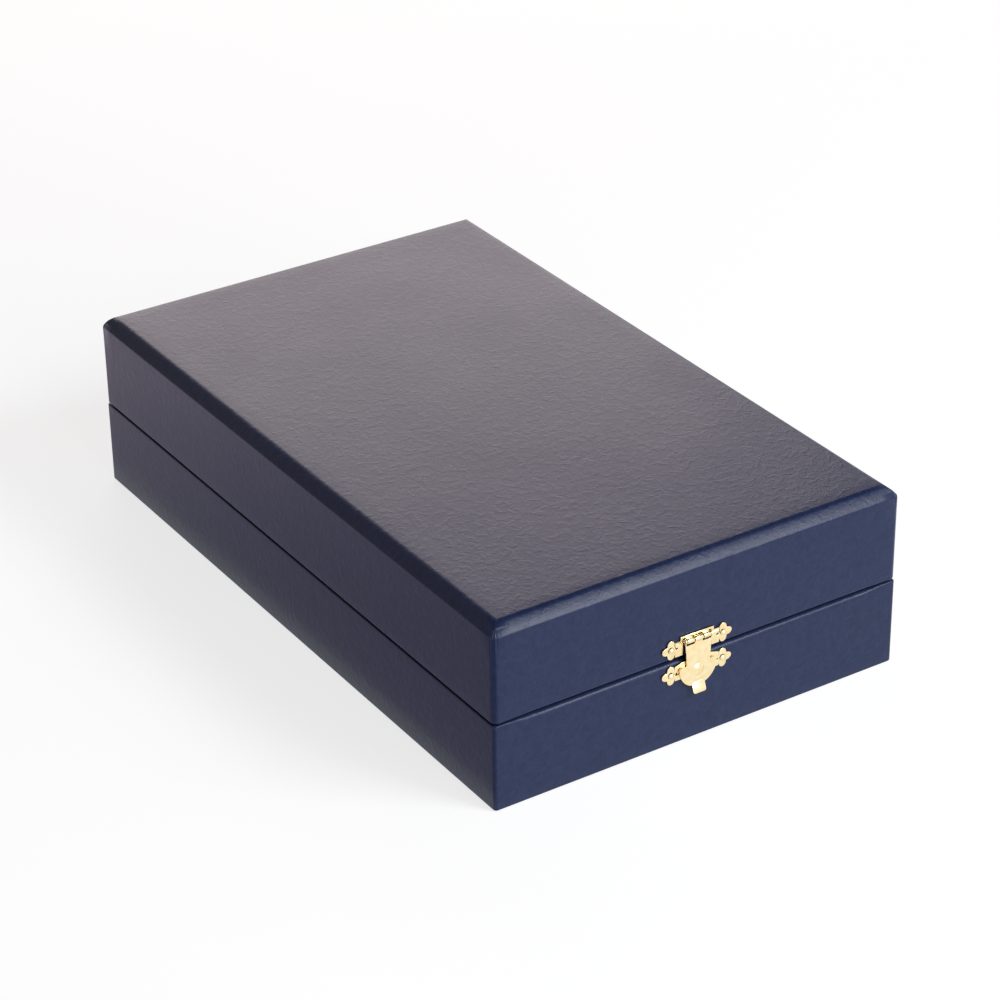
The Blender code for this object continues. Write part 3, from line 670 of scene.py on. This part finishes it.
def bevel_profile(inset, steps):
    """Section of the lid's upper edge, from the top out and down: soft arc, nearly flat bevel, crisp arc."""
    centre_in = bevel_reach
    centre_up = case_height - bevel_top_radius
    last = bevel_top_radius
    profile = []
    for radius, start, end in bevel_arcs:
        centre_in -= (last - radius) * math.sin(start)
        centre_up += (last - radius) * math.cos(start)
        last = radius
        kept = max(radius - inset, least_radius)
        points = arc((centre_in, centre_up), kept, quarter + start, quarter + end, steps)
        profile += points[1:] if profile else points
    return profile


def turned_in(rim, inward):
    """Section of the covering inside the rim. Inward is 1 where the wall goes up from the rim, or -1."""
    inner = turn_in_inset + skin
    edge = turn_in_edge_radius
    points = arc((inner - edge, rim + inward * edge), edge, -inward * quarter, 0, 4)
    points += [(inner, rim + inward * turn_in_depth), (turn_in_inset, rim + inward * turn_in_depth)]
    points += [(turn_in_inset, rim + inward * skin), (skin, rim + inward * skin)]
    return points


def front_share(point):
    """1 along the middle of the front and 0 on the other sides, with a soft change near its ends."""
    from_side = half_width - abs(point[0])
    if point[1] + half_depth > from_side:
        return 0
    share = min(max((from_side - rim_change_start) / rim_change_length, 0), 1)
    return share * share * (3 - 2 * share)


def blended_loop(front, other, corner_radius, pleat=0):
    """Loop that takes one (inset, height) along the front and another on the other sides."""
    loop = case_loop(*other, corner_radius, pleat)
    if front == other:
        return loop
    pairs = zip(loop, case_loop(*front, corner_radius, pleat))
    return [tuple(Vector(there).lerp(Vector(here), front_share(there))) for there, here in pairs]


def lid_profile(rim_radius):
    rim_centre = (rim_radius, lid_bottom + rim_radius)
    innermost = (half_width - 2 * bevel_reach, case_height)
    profile = [innermost] + split(innermost, (bevel_reach, case_height), 12)
    profile += bevel_profile(0, 6)
    profile += split(profile[-1], (0, rim_centre[1]), 8)
    profile += arc(rim_centre, rim_radius, 2 * quarter, 3 * quarter, 8)
    profile += turned_in(lid_bottom, 1)
    return profile + list(reversed(bevel_profile(skin, 3)))


def lid_cover(material):
    loops = []
    for front, other in zip(lid_profile(lid_front_rim_radius), lid_profile(side_rim_radius)):
        inset, height = other
        from_bevel = abs(height - (case_height - bevel_drop))
        near_bevel = max(0, 1 - from_bevel / (pleat_reach_share * bevel_drop))
        outside = 1 if inset < bevel_reach and height > lid_bottom + turn_in_depth else 0
        loops.append(blended_loop(front, other, lid_corner_radius, pleat_depth * near_bevel * outside))
    add_piece("lid_covering", loft("cover", loops), material, "leatherette", "lid", "lid_cover")


def base_profile(rim_radius, rim_height):
    foot_centre = (foot_edge_radius, foot_lift + foot_edge_radius)
    rim_centre = (rim_radius, rim_height - rim_radius)
    profile = [(hem_width, foot_lift)]
    profile += arc(foot_centre, foot_edge_radius, 3 * quarter, 2 * quarter, 5)
    profile += split(profile[-1], (0, rim_centre[1]), 8)
    profile += arc(rim_centre, rim_radius, 2 * quarter, quarter, 10)
    profile += turned_in(rim_height, -1)
    return profile + [(skin, foot_lift + skin), (hem_width, foot_lift + skin)]


def base_cover(material):
    front_profile = base_profile(base_front_rim_radius, base_height - base_front_rim_drop)
    pairs = zip(front_profile, base_profile(side_rim_radius, base_height))
    loops = [blended_loop(front, other, base_corner_radius) for front, other in pairs]
    mesh = loft("cover", loops, closed=True)
    add_piece("base_covering", mesh, material, "leatherette", "base", "base_cover")


# Linings, bed, frame and pad

def lining_strip(name, node, material, slot, body, wave):
    """Covered strip in the place of its CAD node, with a soft upper edge and slight waves."""
    low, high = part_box(node)
    middle = (low + high) / 2
    half = (high - low) / 2
    lengthwise = half.y > half.x
    thick = half.x if lengthwise else half.y
    long = half.y if lengthwise else half.x
    edge = lining_edge_radius
    loops = []
    levels = [(edge, low.z)] + arc((edge, low.z + edge), edge, 3 * quarter, 2 * quarter, 3)[1:]
    levels += split((0, low.z + edge), (0, high.z - edge), 5)
    levels += arc((edge, high.z - edge), edge, 2 * quarter, quarter, 3)
    for inset, height in levels:
        corner = max(edge - inset, edge / 4)
        outline = soft_rectangle(thick - inset, long - inset, corner, 3, 1, 90)
        loop = []
        for across, along in outline:
            spot = Vector((along / wave_length, height / wave_height, wave_seed))
            lean = wave * (noise.noise(spot) - wave_flat_share)
            across -= math.copysign(max(lean, 0), across)
            x, y = (across, along) if lengthwise else (along, across)
            loop.append((middle.x + x, middle.y + y, height))
        loops.append(loop)
    add_piece(name, loft(name, loops), material, slot, body, node)


def linings(velvet_cloth, satin_cloth):
    kinds = (("velvet", "base", velvet_cloth, velvet_wave), ("satin", "lid", satin_cloth, satin_wave))
    for side in ("left", "right", "front", "back"):
        for slot, body, cloth, wave in kinds:
            name = body + "_" + slot + "_" + side
            lining_strip(name, body + "_lining_" + side, cloth, slot, body, wave)


def crown_share(x, y, half_x, half_y, flatness, power):
    """1 in the middle of a rectangle, falling to 0 at its edges."""
    across = min(abs(x) / half_x, 1)
    along = min(abs(y) / half_y, 1)
    return ((1 - across ** flatness) * (1 - along ** flatness)) ** power


def bed_height(x, y, top):
    return top + bed_crown * crown_share(x, y, recess_half_x, recess_half_y, 2, bed_crown_power)


def plaque_bed(material):
    """Padded bed, slightly crowned where the recess leaves it open."""
    low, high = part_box("plaque_bed")
    edge = bed_edge_radius
    levels = [(0, low.z)] + arc((edge, high.z - edge), edge, 2 * quarter, quarter, 4)
    levels += [(room_half_x * step / 24, high.z) for step in range(1, 24)]
    loops = []
    for inset, height in levels:
        radius = max(frame_corner_radius - inset, least_radius)
        outline = soft_rectangle(room_half_x - inset, room_half_y - inset, radius, corner_steps)
        if height == high.z:
            loops.append([(x, y, bed_height(x, y, height)) for x, y in outline])
        else:
            loops.append([(x, y, height) for x, y in outline])
    piece = add_piece("plaque_bed_velvet", loft("bed", loops), material, "velvet", "base", "plaque_bed")


def recess_half_outline(outset):
    """Right half of the recess's edge, from its lower corner up: corner, side, notch, side, corner."""
    half_x = recess_half_x + outset
    corner = frame_corner_radius + outset
    fillet_y = math.sqrt(notch_radius ** 2 + 2 * notch_radius * notch_fillet)
    fillet_centre = (recess_half_x + notch_fillet, -fillet_y)
    lean = math.atan2(fillet_y, notch_fillet)
    lower = arc((half_x - corner, corner - outset - recess_half_y), corner, -quarter, 0, corner_steps)
    lower += split(lower[-1], (half_x, -fillet_y), 20)
    lower += arc(fillet_centre, notch_fillet - outset, math.pi, math.pi - lean, 6)
    notch = arc((recess_half_x, 0), notch_radius + outset, -lean, lean, 24)[1:-1]
    return lower + notch + [(x, -y) for x, y in reversed(lower)]


def outer_half_outline(inset):
    """Right half of the frame's outer edge, with a point for each of the recess's."""
    inner = recess_half_outline(0)
    half_x = room_half_x - inset
    half_y = room_half_y - inset
    corner = frame_corner_radius - inset
    grow = (half_y - corner) / (recess_half_y - frame_corner_radius)
    points = arc((half_x - corner, corner - half_y), corner, -quarter, 0, corner_steps)
    points += [(half_x, y * grow) for x, y in inner[corner_steps + 1:-corner_steps - 1]]
    return points + arc((half_x - corner, half_y - corner), corner, 0, quarter, corner_steps)


def whole_loop(half, height):
    """Close a right half outline by turning it half a turn, with the short sides split."""
    turned_half = [(-x, -y) for x, y in half]
    outline = half + split(half[-1], turned_half[0], 24) + turned_half + split(turned_half[-1], half[0], 24)
    return [(x, y, height) for x, y in outline]


def plaque_frame(material):
    """Velvet-covered frame with soft edges and two finger notches."""
    low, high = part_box("plaque_frame")
    outer = frame_outer_radius
    mouth = frame_mouth_radius
    loops = [whole_loop(outer_half_outline(0), low.z)]
    for inset, height in arc((outer, high.z - outer), outer, 2 * quarter, quarter, 5):
        loops.append(whole_loop(outer_half_outline(inset), height))
    for outset, height in arc((mouth, high.z - mouth), mouth, quarter, 2 * quarter, 7):
        loops.append(whole_loop(recess_half_outline(outset), height))
    loops.append(whole_loop(recess_half_outline(0), low.z))
    mesh = loft("frame", loops, closed=True)
    add_piece("plaque_frame_velvet", mesh, material, "velvet", "base", "plaque_frame")


def remeshed(mesh):
    carrier = linked("pad", mesh)
    remesh = carrier.modifiers.new("Remesh", "REMESH")
    remesh.mode = "VOXEL"
    remesh.voxel_size = pad_remesh
    return evaluated(carrier)


def swollen(mesh):
    """Blow a remeshed pad up with cloth pressure, and cap how far its points may move."""
    rest = [vertex.co.copy() for vertex in mesh.vertices]
    cushion = linked("pad", mesh)
    cloth = cushion.modifiers.new("Cloth", "CLOTH")
    cloth.settings.use_pressure = True
    cloth.settings.uniform_pressure_force = pad_pressure
    cloth.settings.effector_weights.gravity = 0
    scene = bpy.context.scene
    for number in range(1, pad_frames + 1):
        scene.frame_set(number)
    result = evaluated(cushion)
    scene.frame_set(1)
    for vertex, start in zip(result.vertices, rest):
        step = vertex.co - start
        if step.length > pad_most_swell:
            vertex.co = start + step.normalized() * pad_most_swell
    return result


def pad_start(top):
    """Closed slab with rounded sides that the pad is blown up from."""
    edge = pad_edge_radius
    levels = [(edge, top)] + arc((edge, top - edge), edge, quarter, 2 * quarter, 4)
    levels += arc((edge, top - pad_start_thickness + edge), edge, 2 * quarter, 3 * quarter, 4)
    loops = []
    for step_in, height in levels:
        inset = pad_start_inset + step_in
        radius = max(pad_corner_radius - step_in, edge)
        outline = soft_rectangle(room_half_x - inset, room_half_y - inset, radius, corner_steps)
        loops.append([(x, y, height) for x, y in outline])
    return loft("pad", loops)


def puckered(point, top):
    """Small gathers in the satin along the pad's edge, fading towards its middle."""
    from_side = room_half_x - abs(point.x)
    from_end = room_half_y - abs(point.y)
    edge = min(from_side, from_end)
    along = point.y if from_side < from_end else point.x
    fade = max(0, 1 - edge / pad_pucker_reach) ** 2
    below = min(max((top - point.z) / pad_edge_radius - pucker_start_share, 0), 1)
    wave = noise.noise(Vector((along / pucker_length, point.z / pucker_height, edge / pucker_width)))
    return pad_pucker_depth * wave * fade * below


def lid_pad(material):
    """Padded satin panel under the lid's top."""
    low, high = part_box("lid_pad")
    start = remeshed(pad_start(high.z))
    mesh = swollen(start)
    carrier = linked("pad", mesh)
    rounder = carrier.modifiers.new("Subdivision", "SUBSURF")
    rounder.levels = 1
    rounder.render_levels = 1
    mesh = evaluated(carrier)
    mesh.shade_smooth()
    spread_x = (room_half_x + pad_press) / max(abs(vertex.co.x) for vertex in mesh.vertices)
    spread_y = (room_half_y + pad_press) / max(abs(vertex.co.y) for vertex in mesh.vertices)
    mesh.transform(Matrix.Diagonal((spread_x, spread_y, 1, 1)))
    normals = [vertex.normal.copy() for vertex in mesh.vertices]
    for vertex, normal in zip(mesh.vertices, normals):
        vertex.co += normal * puckered(vertex.co, high.z)
        vertex.co.x = min(max(vertex.co.x, -room_half_x), room_half_x)
        vertex.co.y = min(max(vertex.co.y, -room_half_y), room_half_y)
        vertex.co.z = min(vertex.co.z, high.z)
    piece = add_piece("lid_pad_satin", mesh, material, "satin", "lid", "lid_pad")


# Nails

def nail_mesh():
    """Nail with a domed head that rests on the plane Z = 0."""
    profile = [(0, -nail_length), (nail_shank_radius, -nail_length + nail_shank_radius)]
    profile += [(nail_shank_radius, fit_gap / 2)]
    head = dome_profile(nail_head_radius, nail_head_height, 0, 8)
    profile += [(radius, height + fit_gap / 2) for radius, height in head[1:]]
    return turned("nail", profile, 32)


def add_nails(metal):
    shared = nail_mesh()
    places = []
    for side_name, side in (("left", -1), ("right", 1)):
        across = clasp_shift + side * lobe_spacing
        places.append(("clasp_nail_" + side_name, "lid", -1, across, upper_lobe_height, plate_front))
        places.append(("catch_nail_" + side_name, "base", -1, across, -lower_lobe_drop, plate_front))
        for end_name, end in (("outer", side), ("inner", -side)):
            across = side * hinge_place + end * hinge_nail_across
            stem = "_" + side_name + "_" + end_name
            places.append(("hinge_lid_nail" + stem, "lid", 1, across, hinge_nail_drop, leaf_front))
            places.append(("hinge_base_nail" + stem, "base", 1, across, -hinge_nail_drop, leaf_front))
    for node, body, outward, across, up, out in places:
        place = (across, outward * (half_depth + out), seam_height + up)
        mesh = moved(shared.copy(), place, front_turn if outward < 0 else back_turn)
        add_piece(node + "_domed", mesh, metal, "brass", body, node)


# Clasp: built flat, X across, Y up from the seam and Z out of the front face

def at_front(mesh):
    return moved(mesh, (clasp_shift, -half_depth, seam_height), front_turn)


def lobed_end(side, height, top, bottom):
    """Arm end and petalled lobe of a plate: up the right side, or down the left side."""
    points = [(arm_reach, bottom)]
    for step in range(lobe_steps):
        angle = math.tau * step / lobe_steps - math.pi
        petal = abs(math.cos(2 * angle)) ** lobe_sharpness
        radius = lobe_reach * (lobe_waist_share + (1 - lobe_waist_share) * petal)
        across = lobe_spacing + radius * math.cos(angle)
        if across > arm_reach:
            points.append((across, height + radius * math.sin(angle)))
    points.append((arm_reach, top))
    return points if side > 0 else [(-x, y) for x, y in reversed(points)]


def clasp_holes(height):
    front = plate_front + cut_overrun
    back = seat_gap - cut_overrun
    holes = []
    for side in (-1, 1):
        for across, radius in ((lobe_spacing, nail_hole_radius), (root_hole_place, root_hole_radius)):
            holes.append(rod("hole", radius, (side * across, height, back), (side * across, height, front)))
    return holes


def clasp_bore():
    reach = upper_bar_half + cut_overrun
    return cross_bar("bore", clasp_bore_radius, -reach, reach, clasp_pin_centre)


def clasp_plate(metal):
    inner = hasp_half + fit_gap
    breaks = (-inner, -plate_knuckle_far, -plate_knuckle_near, plate_knuckle_near, plate_knuckle_far, inner)
    outline = lobed_end(1, upper_lobe_height, upper_arm_top, upper_arm_bottom)
    outline += [(upper_bar_half, upper_arm_top), (upper_bar_half, upper_bar_top)]
    outline += [(-upper_bar_half, upper_bar_top), (-upper_bar_half, upper_arm_top)]
    outline += lobed_end(-1, upper_lobe_height, upper_arm_top, upper_arm_bottom)
    for index, across in enumerate(breaks):
        low = upper_arm_bottom if abs(across) == inner else upper_bar_bottom
        levels = (low, clasp_pin_height) if index % 2 == 0 else (clasp_pin_height, low)
        outline += [(across, level) for level in levels]
    sheet = prism("sheet", outline, seat_gap, plate_front)
    room = clasp_knuckle_radius + clasp_knuckle_room
    spans = list(zip(breaks, breaks[1:]))
    slots = [cross_bar("slot", room, *span, clasp_pin_centre) for span in spans[::2]]
    notched = carved(sheet, removed=slots)
    knuckles = [cross_bar("knuckle", clasp_knuckle_radius, *span, clasp_pin_centre) for span in spans[1::2]]
    mesh = carved(notched, joined=knuckles, removed=[clasp_bore()] + clasp_holes(upper_lobe_height))
    add_bright("clasp_plate", at_front(eased(mesh)), metal, "lid")


def clasp_pin(metal):
    reach = hasp_half - fit_gap
    mesh = cross_bar("pin", clasp_pin_radius, -reach, reach, clasp_pin_centre)
    add_bright("clasp_pin", at_front(eased(mesh, metal_edge / 2)), metal, "lid")


def catch_plate(metal):
    dip = math.asin((lower_arm_bottom - lower_body_foot) / lower_body_half)
    outline = arc((0, -lower_body_foot), lower_body_half, 2 * quarter + dip, 4 * quarter - dip, 28)
    outline += lobed_end(1, -lower_lobe_drop, -lower_arm_top, -lower_arm_bottom)
    outline += [(lower_body_half, -lower_body_top), (-lower_body_half, -lower_body_top)]
    outline += lobed_end(-1, -lower_lobe_drop, -lower_arm_top, -lower_arm_bottom)
    sheet = prism("sheet", outline, seat_gap, plate_front)
    stud = moved(turned("stud", dome_profile(stud_radius, stud_height, -plate_thickness / 2), 32),
                 (0, -boss_drop, plate_front))
    mesh = carved(sheet, joined=[stud], removed=clasp_holes(-lower_lobe_drop))
    add_bright("catch_plate", at_front(eased(mesh)), metal, "base")


def hasp(metal):
    back = plate_front + fit_gap
    front = back + hasp_thickness
    window_top = clasp_pin_height - clasp_knuckle_radius
    shoulder = shield_radius - shoulder_radius
    shoulder_top = shoulder_radius - shield_drop
    outline = [(hasp_half, clasp_pin_height), (-hasp_half, clasp_pin_height)]
    outline += [(-hasp_neck_half, shoulder_top)]
    outline += arc((-shoulder, -shield_drop), shoulder_radius, quarter, 2 * quarter, 8)
    outline += arc((0, -shield_drop), shield_radius, 2 * quarter, 4 * quarter, 48)[1:-1]
    outline += arc((shoulder, -shield_drop), shoulder_radius, 0, quarter, 8)
    outline += [(hasp_neck_half, shoulder_top)]
    sheet = prism("sheet", outline, back, front)
    tab_middle = (tab_length + tab_corner_radius) / 2
    tab = rounded_rectangle(tab_half, tab_middle, tab_corner_radius)
    tab_mesh = prism("tab", [(x, y - tab_middle) for x, y in tab], -hasp_thickness, 0)
    moved(tab_mesh, (0, tab_corner_radius - tab_root, front), Euler((-tab_tilt, 0, 0)))
    boss = moved(turned("boss", dome_profile(boss_radius, boss_height, -hasp_thickness / 2), 48),
                 (0, -boss_drop, front))
    hollow_radius = boss_radius - boss_wall
    hollow = turned("hollow", dome_profile(hollow_radius, boss_height, -hasp_thickness - cut_overrun), 48)
    moved(hollow, (0, -boss_drop, front - boss_wall))
    windows = []
    for side in (-1, 1):
        near = side * (plate_knuckle_near - fit_gap)
        far = side * (plate_knuckle_far + fit_gap)
        low = (min(near, far), window_top - window_height, back - cut_overrun)
        high = (max(near, far), clasp_pin_height + cut_overrun, front + cut_overrun)
        windows.append(slab("window", low, high))
    cut_sheet = carved(sheet, joined=[boss], removed=windows + [hollow])
    knuckles = []
    middle = plate_knuckle_near - fit_gap
    outer = plate_knuckle_far + fit_gap
    for left, right in ((-hasp_half, -outer), (-middle, middle), (outer, hasp_half)):
        knuckles.append(cross_bar("knuckle", clasp_knuckle_radius, left, right, clasp_pin_centre))
    plate = eased(carved(cut_sheet, joined=knuckles, removed=[clasp_bore()]))
    mesh = carved(plate, joined=[eased(tab_mesh)])
    add_bright("hasp", at_front(mesh), metal, "hasp")


# Stop hinges: built flat, X across, Y up from the seam and Z out of the back face

def stepped_outline(spans, near, set_back, far, radius):
    """Outline whose near edge reaches in along its own knuckles and is set back beside the others."""
    edges = []
    for index, (left, right) in enumerate(spans):
        if left > -hinge_half and index == 0:
            edges += [(-hinge_half, set_back), (left, set_back)]
        edges += [(left, near), (right, near)]
        if index + 1 < len(spans):
            edges += [(right, set_back), (spans[index + 1][0], set_back)]
        elif right < hinge_half:
            edges += [(right, set_back), (hinge_half, set_back)]
    edges += arc((hinge_half - radius, far - radius), radius, 0, quarter, 8)
    edges += arc((radius - hinge_half, far - radius), radius, quarter, 2 * quarter, 8)
    return edges


def stop_lip(side, spans):
    room = hinge_knuckle_radius + fit_gap
    outline = stepped_outline(spans, stop_root, room, stop_reach, stop_corner_radius)
    face = fit_gap / 2
    back = face + stop_thickness
    low, high = (-back, -face) if side > 0 else (face, back)
    turn = quarter - side * stop_angle / 2
    return moved(prism("lip", outline, low, high), (0, 0, hinge_pin_out), Euler((turn, 0, 0)))


def hinge_leaf(side, spans):
    """One leaf: side is 1 on the lid and -1 on the base; spans are its own knuckles."""
    room = hinge_knuckle_radius + fit_gap
    outline = stepped_outline(spans, 0, room, leaf_reach, leaf_corner_radius)
    plate = prism("leaf", [(x, side * y) for x, y in outline], seat_gap, leaf_front)
    cuts = []
    for across in (-hinge_nail_across, hinge_nail_across):
        start = (across, side * hinge_nail_drop, seat_gap - cut_overrun)
        end = (across, side * hinge_nail_drop, leaf_front + cut_overrun)
        cuts.append(rod("hole", nail_hole_radius, start, end))
    reach = hinge_half + cut_overrun
    cuts.append(cross_bar("bore", hinge_bore_radius, -reach, reach, (0, hinge_pin_out)))
    joined = [cross_bar("knuckle", hinge_knuckle_radius, *span, (0, hinge_pin_out)) for span in spans]
    joined.append(stop_lip(side, spans))
    return eased(carved(plate, joined=joined, removed=cuts))


def hinge_pin_mesh():
    reach = hinge_half + fit_gap
    end = reach + hinge_pin_head_length
    profile = ((-end, hinge_pin_head), (-reach, hinge_pin_head), (-reach, hinge_pin_radius),
               (reach, hinge_pin_radius), (reach, hinge_pin_head), (end, hinge_pin_head))
    return eased(turned_bar("pin", profile, (0, hinge_pin_out)))


def hinges(metal):
    outer_start = hinge_middle_half + fit_gap
    lid_leaf = hinge_leaf(1, ((-hinge_middle_half, hinge_middle_half),))
    base_leaf = hinge_leaf(-1, ((-hinge_half, -outer_start), (outer_start, hinge_half)))
    kinds = (("hinge_lid_leaf_", lid_leaf, "lid"), ("hinge_base_leaf_", base_leaf, "base"),
             ("hinge_pin_", hinge_pin_mesh(), "base"))
    for name, side in (("left", -1), ("right", 1)):
        place = (side * hinge_place, half_depth, seam_height)
        for stem, mesh, body in kinds:
            add_bright(stem + name, moved(mesh.copy(), place, back_turn), metal, body)


# Camera, lights and floor

def add_camera():
    data = bpy.data.cameras.new("camera")
    data.lens = camera_lens
    data.sensor_width = camera_sensor
    camera = linked("camera", data)
    level = math.cos(camera_elevation)
    back = Vector((math.sin(camera_azimuth) * level, -math.cos(camera_azimuth) * level,
                   math.sin(camera_elevation)))
    right = Vector((math.cos(camera_azimuth), math.sin(camera_azimuth), 0))
    up = back.cross(right)
    right_rolled = right * math.cos(camera_roll) + up * math.sin(camera_roll)
    up_rolled = up * math.cos(camera_roll) - right * math.sin(camera_roll)
    place = camera_target + back * camera_distance - right_rolled * camera_right - up_rolled * camera_up
    matrix = Matrix((right_rolled, up_rolled, back)).transposed().to_4x4()
    matrix.translation = place
    camera.matrix_world = matrix
    bpy.context.scene.camera = camera


def area_light(name, place, target, size, radiance, colour):
    """Rectangular light whose face has the given brightness, seen only by what it lights."""
    data = bpy.data.lights.new(name, "AREA")
    data.shape = "RECTANGLE"
    data.size, data.size_y = size
    data.energy = radiance * math.pi * data.size * data.size_y
    data.color = colour
    lamp = linked(name, data)
    lamp.location = place
    lamp.rotation_euler = (Vector(target) - Vector(place)).to_track_quat("-Z", "Y").to_euler()
    lamp.visible_camera = False


def flag(name, place, facing, size, glow, far_glow=None):
    """Card that dims what the object mirrors on one side, unseen by the camera.

    With a second glow it brightens away from the box, towards the back and the left, so that it paints the
    box's shadow on the floor into what the box mirrors.
    """
    x, y = Vector(size) / 2
    mesh = bpy.data.meshes.new(name)
    mesh.from_pydata([(-x, -y, 0), (x, -y, 0), (x, y, 0), (-x, y, 0)], [], [(0, 1, 2, 3)])
    card = linked(name, moved(mesh, place, Vector(facing).to_track_quat("Z", "Y")))
    card.visible_camera = False
    card.visible_shadow = False
    card.visible_diffuse = False
    material, tree, shader = new_material(name)
    feed(tree, shader, Base_Color=(0.01, 0.01, 0.01, 1), Roughness=1, Specular_IOR_Level=0)
    feed(tree, shader, Emission_Color=(*glow, 1), Emission_Strength=1)
    if far_glow:
        across = add_node(tree, "SeparateXYZ")
        feed(tree, across, Vector=object_place(tree, turn=quarter / 2))
        share = range_of(tree, across.outputs["X"], -card_glow_start, -card_glow_end, 0, 1)
        share = math_of(tree, "MULTIPLY", share, share)
        feed(tree, shader, Emission_Color=ramp_of(tree, share, glow, far_glow, 0, 1))
    mesh.materials.append(material)


def seen_directly(tree):
    """1 for camera, glossy and transmission rays, and 0 for those that light the object."""
    path = add_node(tree, "LightPath").outputs
    glossy = math_of(tree, "MAXIMUM", path["Is Glossy Ray"], path["Is Transmission Ray"])
    return math_of(tree, "MAXIMUM", path["Is Camera Ray"], glossy)


def add_floor():
    bm = bmesh.new()
    bmesh.ops.create_circle(bm, cap_ends=True, radius=floor_radius, segments=64)
    floor = linked("floor", mesh_from(bm, "floor"))
    material, tree, shader = new_material("floor")
    tree.nodes.remove(shader)
    diffuse = feed(tree, add_node(tree, "BsdfDiffuse"), Color=floor_colour)
    away = add_node(tree, "VectorMath", operation="LENGTH")
    feed(tree, away, Vector=object_place(tree))
    level = range_of(tree, away.outputs["Value"], floor_fade_start, floor_fade_end, floor_near_glow, 1)
    lift = range_of(tree, seen_directly(tree), 0, 1, floor_bounce, level)
    glow = feed(tree, add_node(tree, "Emission"), Color=white, Strength=lift)
    both = add_node(tree, "AddShader")
    tree.links.new(diffuse.outputs[0], both.inputs[0])
    tree.links.new(glow.outputs[0], both.inputs[1])
    tree.links.new(both.outputs[0], tree.nodes["Material Output"].inputs["Surface"])
    floor.data.materials.append(material)


def add_world():
    world = bpy.data.worlds.new("studio")
    bpy.context.scene.world = world
    world.use_nodes = True
    tree = world.node_tree
    strength = range_of(tree, seen_directly(tree), 0, 1, sky_bounce, 1)
    feed(tree, tree.nodes["Background"], Color=white, Strength=strength)


def add_lights():
    for lamp in lamps:
        area_light(*lamp)
    for card in cards:
        flag(*card)


def dress_boards(core, paper):
    for name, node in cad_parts.items():
        if name.endswith("_board"):
            node.data.materials.clear()
            node.data.materials.append(core)
    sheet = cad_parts["underside_sheet"]
    sheet.data.materials.clear()
    sheet.data.materials.append(paper)


def build():
    cover = leatherette("leatherette_navy")
    pile = velvet("velvet_navy")
    silk = satin("satin_ivory")
    metal = brass("brass_bright")
    lid_cover(cover)
    base_cover(cover)
    dress_boards(board_core("board_core"), paper_sheet("paper_dark"))
    linings(pile, silk)
    plaque_bed(pile)
    plaque_frame(pile)
    lid_pad(silk)
    clasp_plate(metal)
    clasp_pin(metal)
    catch_plate(metal)
    hasp(metal)
    hinges(metal)
    add_nails(metal)
    add_floor()
    add_world()
    add_lights()
    add_camera()
    bpy.context.scene.view_settings.view_transform = "Standard"


build()
